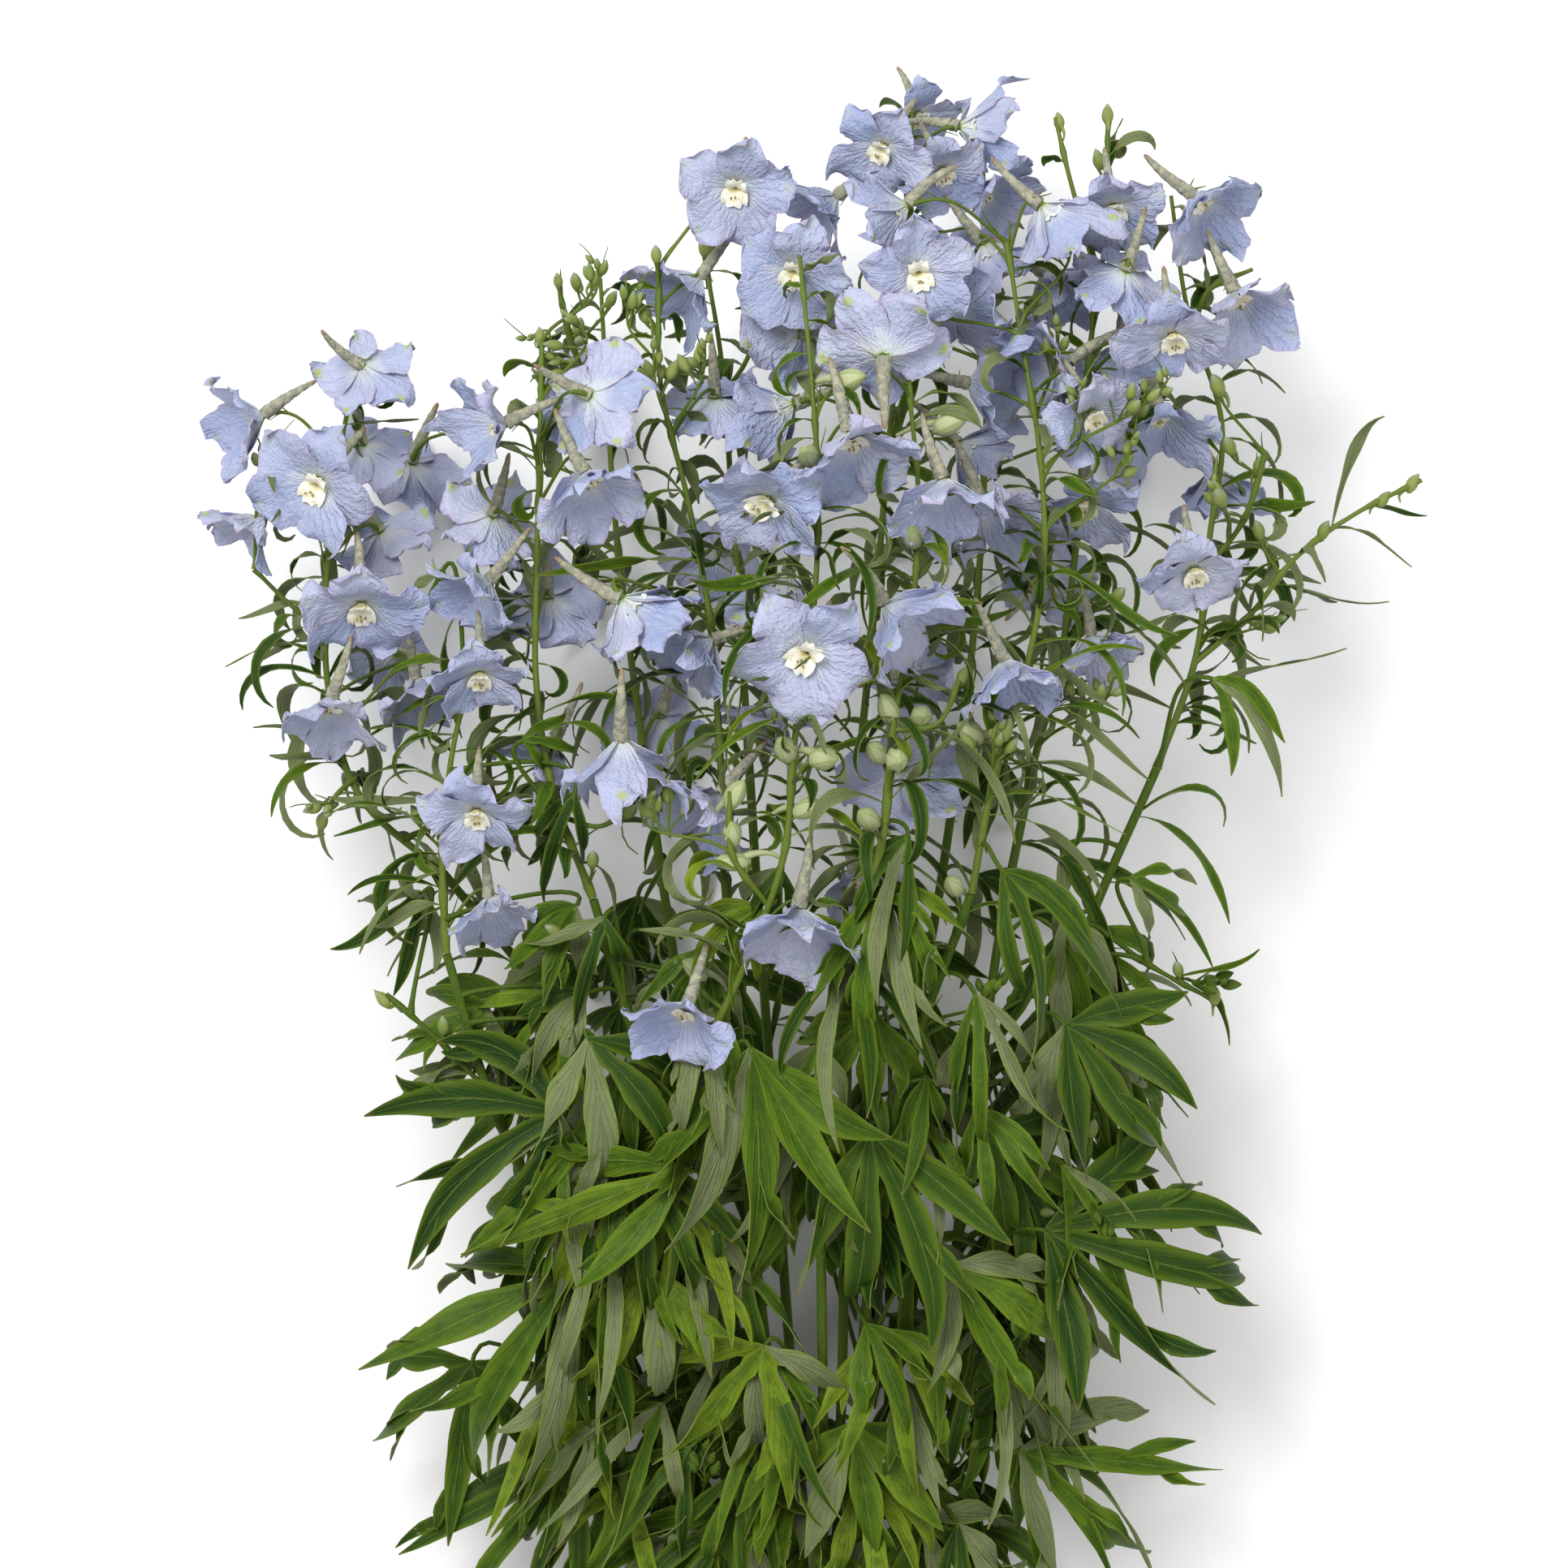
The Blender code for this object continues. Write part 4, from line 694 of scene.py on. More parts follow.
def floret(axes, centre, turn, lift, spur_turn, size, grow):
    """The floret's facts at a place, its solid's mesh and the number of its stalk's faces."""
    face = toward(turn, lift)
    frame = floret_frame(face, spur_turn)
    cup = OPEN_CUP if abs(lift) > OPEN_LIFT_DEG else NODDING_CUP
    calyx = centre - face * size * 0.6 * (cup + 0.1)
    axis, root = nearest_axis(axes, calyx, BELOW["floret"])
    points, faces, stalk = floret_mesh(root, calyx, face, frame, size, cup, grow)
    return Bloom(axis, root, calyx, face, frame, size, cup), (points, faces), stalk


def add_floret(space, axes, rng, centre, turn, lift, spur_turn, size, steps=60, spread=0.045):
    """Places a floret where it is clear of the others, as near to its wanted place as it can be."""
    for move, more_turn, more_lift in tries(rng, steps, spread):
        where = (axes, centre + move, turn + more_turn, lift + more_lift, spur_turn, size)
        bloom, (points, faces), stalk = floret(*where, CLEARANCE)
        if not space.clear((points, faces[:-stalk])):
            continue
        if not space.clear((points, faces[-stalk:]), (bloom.axis,)):
            continue
        bloom, mesh, _ = floret(*where, 0)
        space.add(None, mesh)
        return bloom
    return None


def add_foot(space, axes, x_px, y_px, turn, size):
    """A floret that faces down, with the tips of its sepals on the surface."""
    centre = place(x_px, y_px, 0.02)
    where = (turn, FOOT_LIFT_DEG, turn + 180, size, 0)
    centre[2] -= floret(axes, centre, *where)[1][0][:, 2].min()
    bloom, mesh, _ = floret(axes, centre, *where)
    space.add(None, mesh)
    return bloom


def add_bud(space, axes, rng, tip, length):
    for move, _, _ in tries(rng, 50, 0.030):
        at = tip + move
        axis, root = nearest_axis(axes, at, BELOW["bud"])
        out = at - root
        ahead = unit(unit(out) + np.array([0, 0.5 if length < LARGE_BUD else -0.35, 0.15]))
        base = at - ahead * length
        if not space.clear(bud_mesh(root, base, ahead, length, CLEARANCE), (axis,)):
            continue
        space.add(None, bud_mesh(root, base, ahead, length, 0))
        return Bud(axis, root, base, ahead, length)
    return None


def leaf_stalk(root, hub, ahead, normal, grow):
    """The long stalk from the stem into the leaf's blade."""
    end = hub + STALK_INTO_BLADE * ahead - 0.30 * LEAF_THICKNESS * normal
    path = bow(root, hub, ahead, end, LEAF_STALK_REACH * np.linalg.norm(hub - root), LEAF_STALK_RISE, 3)
    return tube(path, [LEAF_STALK_RADIUS + grow] * 3, 3, LEAF_STALK_PHASE)


def add_leaf(space, axes, rng, hub, turn, lift, shape):
    lobes, fan, length, width, droop = shape
    for move, more_turn, more_lift in tries(rng, 90, 0.035):
        at = hub + move
        axis, root = nearest_axis(axes, at, BELOW["leaf"])
        ahead = toward(turn + more_turn, lift + more_lift)
        normal = toward(turn + 180, 90 - abs(lift) + more_lift)
        normal = across_to(normal, ahead)
        stalk = leaf_stalk(root, at, ahead, normal, CLEARANCE)
        blade = leaf_blade(at, ahead, normal, lobes, fan, length, width, droop, CLEARANCE)
        if not space.clear(blade) or not space.clear(stalk, (axis,)):
            continue
        meshes = [leaf_blade(at, ahead, normal, lobes, fan, length, width, droop, 0)]
        meshes.append(leaf_stalk(root, at, ahead, normal, 0))
        for mesh in meshes:
            space.add(None, mesh)
        return Leaf(axis, root, at, ahead, normal, shape)
    return None


def add_flat_leaf(space, axes):
    """The leaf that lies flat on the surface and steadies the bunch."""
    x_px, y_px, lobes, fan, length, width = FLAT_LEAF
    hub = place(x_px, y_px, LEAF_THICKNESS)
    blade = leaf_blade(hub, toward(90, 0), toward(0, 90), lobes, fan, length / 1000, width / 1000, 0, 0)
    flat = blade[0]
    half = len(flat) // 2
    flat[:half, 2] = LEAF_THICKNESS
    flat[half:, 2] = 0
    axis, root = nearest_axis([axis for axis in axes if axis.node == "stem_back"], hub, BELOW["flat leaf"])
    stalk = leaf_stalk(root, hub + (0, 0, 0.0009), toward(90, -6), toward(0, 90), 0)
    for mesh in (blade, stalk):
        space.add(None, mesh)
    shape = (lobes, fan, length / 1000, width / 1000, 0)
    return Leaf(axis, root, hub - (0, 0, 0.0003), toward(90, 0), toward(0, 90), shape)


def arrange():
    """The axes and what they carry, each bent clear of the rest."""
    rng = random.Random(SEED)
    space = Space()
    axes = stem_axes()
    for axis in axes:
        space.add(axis, tube(axis.path, axis.radii, SOLID_SIDES[axis.kind]))
    upper = [axis for axis in axes if axis.kind != "stem"]
    lower = [axis for axis in axes if axis.kind == "stem"]
    placed = [add_foot(space, upper, *spot[:3], spot[3] / 1000) for spot in FEET]
    placed.append(add_flat_leaf(space, axes))
    for x, y, layer, turn, lift, spur_turn, size in FLORETS:
        at = place(x, y, depth(x, y, FLORET_LAYER * layer))
        placed.append(add_floret(space, upper, rng, at, turn, lift, spur_turn, size / 1000))
    for x, y, layer, length in BUDS:
        at = place(x, y, depth(x, y, BUD_LAYER * layer))
        placed.append(add_bud(space, axes, rng, at, length / 1000))
    for x, y, layer, turn, lift, lobes, fan, length, width, droop in LEAVES:
        shape = (lobes, fan, length / 1000, width / 1000, droop)
        carriers = lower if y > 1100 else axes
        at = place(x, y, depth(x, y, layer))
        placed.append(add_leaf(space, carriers, rng, at, turn, lift, shape))
    for x, y, size in UNDER_FLORETS:
        turn = rng.uniform(0, 360)
        at = place(x, y, depth(x, y, UNDER_LAYER))
        placed.append(add_floret(space, upper, rng, at, turn, -50, turn + 180, size / 1000, 60, 0.06))
    return axes, [thing for thing in placed if thing]


# Thin side shoots with clusters of small buds: place, layer, number of buds and the way they point
SPRIGS = [
    (738, 338, 0.3, 7, 100), (776, 372, 0.45, 6, 60), (716, 402, 0.5, 6, 150), (662, 408, 0.3, 3, 220),
    (806, 452, 0.6, 7, 90), (700, 446, 0.4, 4, 170), (790, 998, 0.95, 9, 80), (1224, 905, 0.8, 10, 85),
    (1368, 850, 0.5, 8, 80), (1428, 484, 0.9, 8, 60), (1302, 420, 0.5, 7, 95), (1486, 1212, 0.4, 8, -10),
    (1362, 1500, 0.75, 6, -40), (866, 1812, 0.85, 8, 100), (1500, 612, 0.6, 6, 120),
    (762, 1600, 0.9, 5, 60), (1390, 560, 0.7, 6, 80), (870, 440, 0.6, 6, 95), (1320, 300, 0.7, 5, 100),
    (1192, 1790, 0.8, 5, 90), (1228, 1220, 0.7, 6, 60), (398, 990, 0.5, 5, 190), (330, 560, 0.4, 5, 60),
    (1330, 500, 0.8, 6, 100), (960, 905, 0.5, 5, 120), (1560, 768, 0.3, 4, 30),
]

# The camera, the floor and the light
VIEW_PX = (966, 966)  # the middle of the view
VIEW_WIDTH = 1932 * PX
VIEW_Z = 0.13  # the height in the bunch at which the view's scale is true
CAMERA_Z = 4.2
SENSOR_MM = 36
FLOOR_Z = -0.0006
FLOOR_SIZE = 14
FLOOR_WHITE = (0.9, 0.9, 0.9, 1)
# Name, place, size in metres and watts
LIGHTS = (("key", (-0.8, 1.2, 2.4), 1.2, 68), ("fill", (1.5, -0.5, 2.4), 2.0, 18))
SKY_STRENGTH = 0.66

# Skins
FLOOR_GAP = 0.0004
BOX_SPARE = 0.0025  # how far a petal or a leaf may stand out of the box of the solids
LEAST_SHARE = 0.2  # a piece isn't shrunk further than this one to stay in that box
PETAL_SKIN = 0.00032
LEAF_SKIN = 0.00042
BLADE_SKIN = 0.0003
SHARP_DEG = 55

# Sepals, in shares of their length
SEPAL_GRID = (12, 9)
SEPAL_HALF_WIDTH = 0.56  # before the outline is rounded off
SEPAL_LAYERS = (-0.04, 0.01, 0.05, 0.02, -0.01)  # how the five sepals lie over each other
# The waves along the edges and the creases across: how close they lie, and how high they are
RUFFLES = ((1.3, 0.11), (2.6, 0.065), (4.4, 0.036))
CREASES = ((4, 0.026), (8, 0.012))
SPUR_SIDES = 10

# The heart: turn of each petal in degrees, half-width, reach and rise as shares of the sepal's length
HEART_PETALS = (
    (-60, 0.17, 0.30, 0.22), (-120, 0.17, 0.30, 0.22), (66, 0.125, 0.25, 0.32), (114, 0.125, 0.25, 0.32),
)
HEART_GRID = (7, 5)
HAIRS = 7
HAIR_RADII = (0.00014, 0.00011, 0.00004)
ANTHERS = 4
FILAMENT_RADII = (0.00022, 0.00018, 0.00016)
ANTHER_RADII = (0.00025, 0.00045, 0.0004, 0.0001)

# Stems and stalks
WOOD_SIDES = {"rachis": 9, "stem": 12, "branch": 8}
MOST_RADIUS = 0.0036
BUD_SIDES = 15
SPRIG_RADII = (0.00085, 0.00045)
SPRIG_STALK_RADII = (0.00045, 0.0004, 0.0005)

# Leaves: the outline of a lobe, as shares of its length and of its width
LOBE_RUN = (0, 0.12, 0.28, 0.42, 0.58, 0.74, 0.88, 0.96, 1)
LOBE_WIDTHS = (0.09, 0.24, 0.60, 0.84, 0.82, 0.60, 0.30, 0.11, 0.01)
LOBE_GRIDS = ((19, 7), (10, 5))  # the points of a lobe and of its side segments, on the large leaves
SMALL_GRIDS = ((13, 5), (8, 3))
STRAP_GRID = (14, 3)
UNDERSIDE_SHARE = 0.22  # the share of lobes that turn over and show their undersides
SEGMENT_SHARE = 0.55
RIBBON_WIDTH = 0.009  # lobes narrower than this one curl like ribbons
LEAF_PITCH = {"rachis": 0.0068, "stem": 0.0145, "branch": 0.016}
STRAP_ZONE_PX = 860  # above this line only straps grow, and below the next one only palmate leaves
LEAF_ZONE_PX = 1420
MOST_LEAFY_PX = 2120
SINGLE_STRAPS_PX = 640  # above this line straps grow singly, and in pairs below it
FULL_STRAPS_PX = 620  # above this line they grow shorter
BARE_SHARE = 0.35  # the share of places for a smaller leaf that stay bare
HUB_REACH_PX = 300  # how far from the middle of the bunch a smaller leaf starts

# What the finishes read at each point: the place across and along a skin, the slope from a sepal's middle
# line, the front (0) or back (1), how light it is, and which kind of surface it is
# On leaves, shade is also made darker lower in the bunch: painted shade
VALUES = ("across", "along", "ray", "back", "shade", "kind")
# The kinds of surface: on a floret, in its heart, on stems, stalks and buds, and on a leaf
TISSUE, SPUR = 0, 1
WHITE, HAIR, ANTHER = 0, 0.5, 1
STALK, SMALL, LARGE = 0, 0.5, 1
BLADE = 1


def colour(red, green, blue):
    """A colour named by its look on a screen, from 0 to 255."""
    linear = []
    for level in (red / 255, green / 255, blue / 255):
        linear.append(level / 12.92 if level <= 0.04045 else ((level + 0.055) / 1.055) ** 2.4)
    return (*linear, 1.0)


class Form:
    """Gathers the closed skins of one piece, with the values that its finish reads at each point."""

    def __init__(self):
        self.points = []
        self.quads = []
        self.ends = []
        self.values = {name: [] for name in VALUES}
        self.count = 0

    def add(self, points, quads, ends=(), **values):
        points = points.reshape(-1, 3)
        self.points.append(points)
        self.quads.append(quads + self.count)
        self.ends += [[k + self.count for k in face] for face in ends]
        for name in VALUES:
            self.values[name].append(np.full(len(points), values.get(name, 0.0), float))
        self.count += len(points)

    def finish(self, name, material, node, slot):
        points = np.vstack(self.points)
        points[:, 2] = np.maximum(points[:, 2], FLOOR_GAP)
        data = bpy.data.meshes.new(name)
        data.from_pydata(points.tolist(), [], np.vstack(self.quads).tolist() + self.ends)
        for value, levels in self.values.items():
            data.attributes.new(value, "FLOAT", "POINT").data.foreach_set("value", np.concatenate(levels))
        data.shade_smooth()
        data.set_sharp_from_angle(angle=math.radians(SHARP_DEG))
        data.materials.append(material)
        piece = bpy.data.objects.new(name, data)
        bpy.context.scene.collection.objects.link(piece)
        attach(piece, "root")
        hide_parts(node)


def bar(form, path, radii, sides, **values):
    """A closed round bar along a path, with one radius a ring or one a point."""
    path = np.asarray(path, float)
    radii = np.asarray(radii, float)
    radii = radii[:, None] * np.ones(sides) if radii.ndim == 1 else radii
    along = units(np.gradient(path, axis=0))
    side = unit(np.cross(along[0], (0.31, 0.17, 0.93)))
    turns = math.tau * np.arange(sides) / sides
    rings = []
    for centre, ahead, radius in zip(path, along, radii):
        side = across_to(side, ahead)
        spokes = np.cos(turns)[:, None] * side + np.sin(turns)[:, None] * np.cross(ahead, side)
        rings.append(centre + radius[:, None] * spokes)
    k = np.arange(len(path) * sides).reshape(-1, sides)
    nxt = np.roll(k, -1, axis=1)
    quads = np.stack([k[:-1], nxt[:-1], nxt[1:], k[1:]], axis=-1).reshape(-1, 4)
    values.setdefault("along", np.repeat(np.linspace(0, 1, len(path)), sides))
    form.add(np.array(rings), quads, [k[0, ::-1].tolist(), k[-1].tolist()], **values)


def sheet(form, grid, thickness, **values):
    """A thin closed sheet from rows of points. Its front is the side that rows and columns turn towards."""
    rows, columns = grid.shape[:2]
    normal = np.cross(np.gradient(grid, axis=0), np.gradient(grid, axis=1))
    normal /= np.linalg.norm(normal, axis=2)[:, :, None] + 1e-12
    half = normal * thickness / 2
    k = np.arange(rows * columns).reshape(rows, columns)
    front = np.stack([k[:-1, :-1], k[1:, :-1], k[1:, 1:], k[:-1, 1:]], axis=-1).reshape(-1, 4)
    loop = np.concatenate([k[:-1, 0], k[-1, :-1], k[:0:-1, -1], k[0, :0:-1]])
    nxt = np.roll(loop, -1)
    under = rows * columns
    rim = np.stack([nxt, loop, loop + under, nxt + under], axis=1)
    across = np.broadcast_to(np.linspace(-1, 1, columns), (rows, columns)).ravel()
    along = np.repeat(np.linspace(0, 1, rows), columns)
    form.add(
        np.stack([grid + half, grid - half]),
        np.vstack([front, front[:, ::-1] + under, rim]),
        across=np.tile(across, 2),
        along=np.tile(values.pop("reach", along), 2),
        back=np.repeat((0.0, 1.0), under),
        **values,
    )


def blade(form, base, way, normal, length, width, bend, **values):
    """A small pointed strap, such as a bract."""
    side = unit(np.cross(way, normal))
    v = np.linspace(0, 1, 7)[:, None, None]
    u = np.linspace(-1, 1, 3)[None, :, None]
    half = width / 2 * (1 - v) ** 0.7 * (0.55 + 0.45 * np.minimum(3 * v, 1)) + 0.00008
    lift = normal * (bend * v**2 * length + 0.25 * np.abs(u) * half)
    sheet(form, base + way * v * length + lift + side * u * half, BLADE_SKIN, **values)


def kept_inside(points, root):
    """The points drawn in toward their root, if need be, so that they stay in the box of the solids."""
    low, high = np.array(CAD_BOX[0]) - BOX_SPARE, np.array(CAD_BOX[1]) + BOX_SPARE
    low[2] = FLOOR_GAP
    out = (points - root).reshape(-1, 3)
    share = 1.0
    for k in range(3):
        if out[:, k].max() > 0:
            share = min(share, (high[k] - root[k]) / out[:, k].max())
        if out[:, k].min() < 0:
            share = min(share, (low[k] - root[k]) / out[:, k].min())
    return root + (points - root) * max(share, LEAST_SHARE)


def add_sepal(form, bloom, lobe, rng):
    """One broad ruffled sepal. Lobe 0 is the upper one, which the spur grows from."""
    rows, columns = SEPAL_GRID
    size = bloom.size * rng.uniform(1.00, 1.15)
    v = (0.04 + 0.96 * (1 - (1 - np.linspace(0, 1, rows)) ** 1.35))[:, None]
    u = np.linspace(-1, 1, columns)[None, :]
    turn = math.radians(90 + 360 / SEPALS * lobe + rng.uniform(-5, 5))
    rounded = np.sin(math.pi * np.minimum(v, 0.997)) ** 0.56 * v / (v + 0.12)
    scallop = 1 + 0.035 * np.sin(rng.uniform(14, 20) * v + rng.uniform(0, 6))
    scallop = scallop + 0.02 * np.sin(31 * v + rng.uniform(0, 6))
    side = SEPAL_HALF_WIDTH * size * rng.uniform(0.80, 1.10) * rounded * scallop * u
    side = side + size * rng.uniform(-0.10, 0.10) * v**2
    out = spread(bloom.cup) * v - 0.05 * np.abs(u) ** 3 * v**3
    out = out + 0.018 * np.sin(rng.uniform(7, 11) * u + rng.uniform(0, 6)) * v**6
    forward = (bloom.cup + CURL + rng.uniform(-0.06, 0.16)) * v - CURL * v**2
    forward = forward - rng.uniform(-0.12, 0.30) * v**4
    forward = forward + rng.uniform(-0.03, 0.12) * u * u * v
    forward = forward - 0.035 * np.exp(-((u / 0.22) ** 2)) * np.sin(math.pi * v)
    forward = forward + rng.uniform(-0.22, 0.22) * u * v + SEPAL_LAYERS[lobe] * v
    for waves, height in RUFFLES:
        start = rng.uniform(0, 1)
        ruffle = np.sin(math.tau * (waves * v + start) + rng.uniform(-2.5, 2.5) * u)
        forward = forward + height * np.abs(u) ** 1.4 * ruffle * v
    for ridges, height in CREASES:
        forward = forward + height * np.sin(ridges * u + rng.uniform(0, math.tau) + 2 * v) * v
    right = math.cos(turn) * out * size - math.sin(turn) * side
    up = math.sin(turn) * out * size + math.cos(turn) * side
    local = np.stack([right, up, forward * size], axis=-1)
    grid = kept_inside(local @ bloom.frame.T + bloom.calyx, bloom.calyx)
    reach, ray = np.repeat(v[:, 0], columns), np.tile((side / (v * size)).ravel(), 2)
    sheet(form, grid, PETAL_SKIN, reach=reach, ray=ray, shade=rng.uniform(0, 1), kind=TISSUE)


def add_spur(form, bloom, rng):
    """The long wrinkled spur behind the upper sepal."""
    bend = rng.uniform(-0.10, 0.10)
    droop = rng.uniform(-0.12, 0.06)
    route = [(0, 0.03, 0.04), (0, 0.17, -0.18), (0.3 * bend, 0.31, -0.48)]
    route += [(0.6 * bend, 0.42 + 0.4 * droop, -0.78), (bend, 0.49 + droop, -1.06)]
    path = smooth(np.array(route) * bloom.size, 5) @ bloom.frame.T + bloom.calyx
    t = np.linspace(0, 1, len(path))[:, None]
    turns = math.tau * np.arange(SPUR_SIDES)[None, :] / SPUR_SIDES
    wrinkles = 1 + 0.07 * np.sin(41 * t + 2.0 * np.sin(turns + rng.uniform(0, 6)) + rng.uniform(0, 6))
    wrinkles = wrinkles + 0.06 * np.cos(4 * turns + 5 * t + rng.uniform(0, 6))
    radii = bloom.size * (0.132 - 0.095 * t**1.15) * wrinkles
    radii[-1] *= 0.5
    bar(form, path, radii, SPUR_SIDES, shade=rng.uniform(0, 1), kind=SPUR)


def add_heart(form, bloom, rng):
    """The small white petals in the middle, with their yellow hairs, and the brown anthers under them."""
    size = bloom.size

    def spot(right, up, forward):
        return np.stack(np.broadcast_arrays(right, up, forward), axis=-1) * size @ bloom.frame.T + bloom.calyx

    rows, columns = HEART_GRID
    v = np.linspace(0, 1, rows)[:, None]
    u = np.linspace(-1, 1, columns)[None, :]
    for turn_deg, half_width, reach, rise in HEART_PETALS:
        turn = math.radians(turn_deg + rng.uniform(-6, 6))
        out = 0.035 + reach * v**1.6 - 0.05 * (1 - np.abs(u)) * v**6
        side = half_width * np.sin(math.pi * (0.12 + 0.80 * v)) ** 0.7 * u
        forward = 0.08 + rise * v**0.7 + 0.05 * np.abs(u) * v - 0.10 * v**4
        right = math.cos(turn) * out - math.sin(turn) * side
        up = math.sin(turn) * out + math.cos(turn) * side
        grid = spot(right, up, forward)
        sheet(form, grid, BLADE_SKIN, shade=rng.uniform(0, 1), kind=WHITE)
        if turn_deg > 0:
            continue
        for _ in range(HAIRS):
            across, along = rng.uniform(-0.55, 0.55), rng.uniform(0.35, 0.85)
            row, column = int(round(along * (rows - 1))), int(round(across * 2)) + columns // 2
            root = grid[row, column] + (grid[row - 1, column] - grid[row, column]) * rng.uniform(0, 1)
            way = unit(bloom.face + 0.7 * scatter(rng))
            hair = [root, root + way * size * 0.05, root + way * size * 0.09 + bloom.face * size * 0.02]
            bar(form, hair, HAIR_RADII, 3, kind=HAIR)
    for k in range(ANTHERS):
        turn = math.tau * k / ANTHERS + rng.uniform(-0.3, 0.3)
        out = rng.uniform(0.02, 0.09)
        base = spot(math.cos(turn) * out * 0.5, math.sin(turn) * out * 0.5 - 0.02, 0.05)
        head = spot(math.cos(turn) * out, math.sin(turn) * out * 0.6 - 0.13, rng.uniform(0.19, 0.27))
        bar(form, [base, (base + head) / 2, head], FILAMENT_RADII, 3, kind=WHITE)
        tip = head + unit(head - base) * size * 0.055
        anther = [head, head + (tip - head) * 0.3, head + (tip - head) * 0.75, tip]
        bar(form, anther, ANTHER_RADII, 5, kind=ANTHER)


def flared(radius, more, run, steps):
    """A stalk's radii, thicker at its root."""
    return radius + more * np.exp(-np.linspace(0, 1, steps) / run)


def add_stalk(form, bloom, rng):
    """The curved flower stalk with its swollen end, two bracteoles and the bract where it leaves the stem."""
    root = on_axis(bloom.axis, bloom.root)
    reach = STALK_REACH * np.linalg.norm(bloom.calyx - bloom.root)
    end = bloom.calyx + bloom.face * 0.05 * bloom.size
    path = bow(root, bloom.calyx, bloom.face, end, reach, STALK_RISE, 12)
    t = np.linspace(0, 1, len(path))
    swollen = (0.075 * bloom.size - 0.0007) * np.clip((t - 0.80) / 0.2, 0, 1) ** 1.6
    radii = flared(0.00072, 0.0005, 0.06, len(path)) + swollen
    bar(form, path, radii, 7, shade=rng.uniform(0, 1), kind=STALK)
    for row, hand in ((8, 1.0), (9, -1.0)):
        ahead = unit(path[row + 1] - path[row])
        side = unit(np.cross(ahead, (0.2, 0.3, 0.9))) * hand
        way = unit(ahead + 0.55 * side + 0.2 * scatter(rng))
        normal = unit(np.cross(way, np.cross(side, way)))
        length = rng.uniform(0.0055, 0.0085)
        blade(form, path[row], way, normal, length, 0.0009, 0.15, shade=rng.uniform(0, 1), kind=STALK)
    add_bract(form, root, unit(path[2] - root), rng)


def add_bract(form, root, out, rng):
    """The narrow bract under a flower stalk."""
    way = unit(out + np.array([0, 0.35, 0]) + 0.25 * scatter(rng))
    normal = unit(np.cross(np.cross(way, (0, 1, 0.1)), way) + 0.01)
    normal = across_to(normal, way)
    length, bend = rng.uniform(0.008, 0.016), rng.uniform(-0.3, 0.2)
    blade(form, root + out * 0.001, way, normal, length, 0.0015, bend, shade=rng.uniform(0, 1), kind=STALK)


def add_fine_bud(form, bud, rng):
    """A bud with its five closed sepals and the spur that lies back along its stalk."""
    root = on_axis(bud.axis, bud.root)
    large = bud.length >= LARGE_BUD
    reach = STALK_REACH * np.linalg.norm(bud.base - bud.root)
    lift = root + reach * unit(bud.base - root + np.array([0, STALK_RISE if large else 0.004, 0]))
    end = bud.base + 0.1 * bud.length * bud.ahead
    path = bezier(root, lift, bud.base - reach * 0.6 * bud.ahead, end, 9)
    t = np.linspace(0, 1, len(path))
    swollen = 0.05 * bud.length * np.clip((t - 0.85) / 0.15, 0, 1) ** 2
    radii = flared(0.00068, 0.0005, 0.06, len(path)) + swollen
    bar(form, path, radii, 6, shade=rng.uniform(0, 1), kind=STALK)
    shade = rng.uniform(0, 1)
    # Rows of points, how blunt the bud is, how deep its ribs are and how far its spur lies back
    rows, blunt, ribbed, back = (15, 0.72, 0.075, 0.95) if large else (10, 0.85, 0.045, 0.55)
    kind = LARGE if large else SMALL
    t = np.linspace(0.02, 1, rows)
    swell = 0.26 * bud.length * np.sin(math.pi * np.clip(t, 0, 0.995) ** 0.85) ** blunt + 0.00012
    turns = math.tau * np.arange(BUD_SIDES) / BUD_SIDES
    ribs = np.cos(5 * turns)[None, :]
    radii = swell[:, None] * (1 + ribbed * ribs)
    belly = bud.base + bud.ahead * (t * bud.length)[:, None]
    up = np.array([0.0, 1.0, 0.0])
    up = unit(up - bud.ahead * up.dot(bud.ahead) + 0.02)
    belly = belly + up * (0.06 * bud.length * np.sin(math.pi * t))[:, None]
    bar(form, belly, radii, BUD_SIDES, across=np.tile(ribs[0], rows), shade=shade, kind=kind)
    route = [(0.30, 0.12), (0.02, 0.25), (-0.30 * back, 0.31), (-0.62 * back, 0.29)]
    route.append((-0.95 * back, 0.20 + rng.uniform(-0.1, 0.1)))
    spur = smooth([bud.base + bud.length * (a * bud.ahead + b * up) for a, b in route], 2)
    t = np.linspace(0, 1, len(spur))
    radii = bud.length * (0.125 - 0.085 * t) * (1 + 0.05 * np.sin(30 * t))
    bar(form, spur, radii, 8, across=0.2, along=0.35, shade=shade, kind=kind)
    add_bract(form, root, unit(path[2] - root), rng)


def on_axis(axis, point):
    """The nearest point of the finely drawn stem."""
    return axis.fine[np.argmin(np.linalg.norm(axis.fine - point, axis=1))]


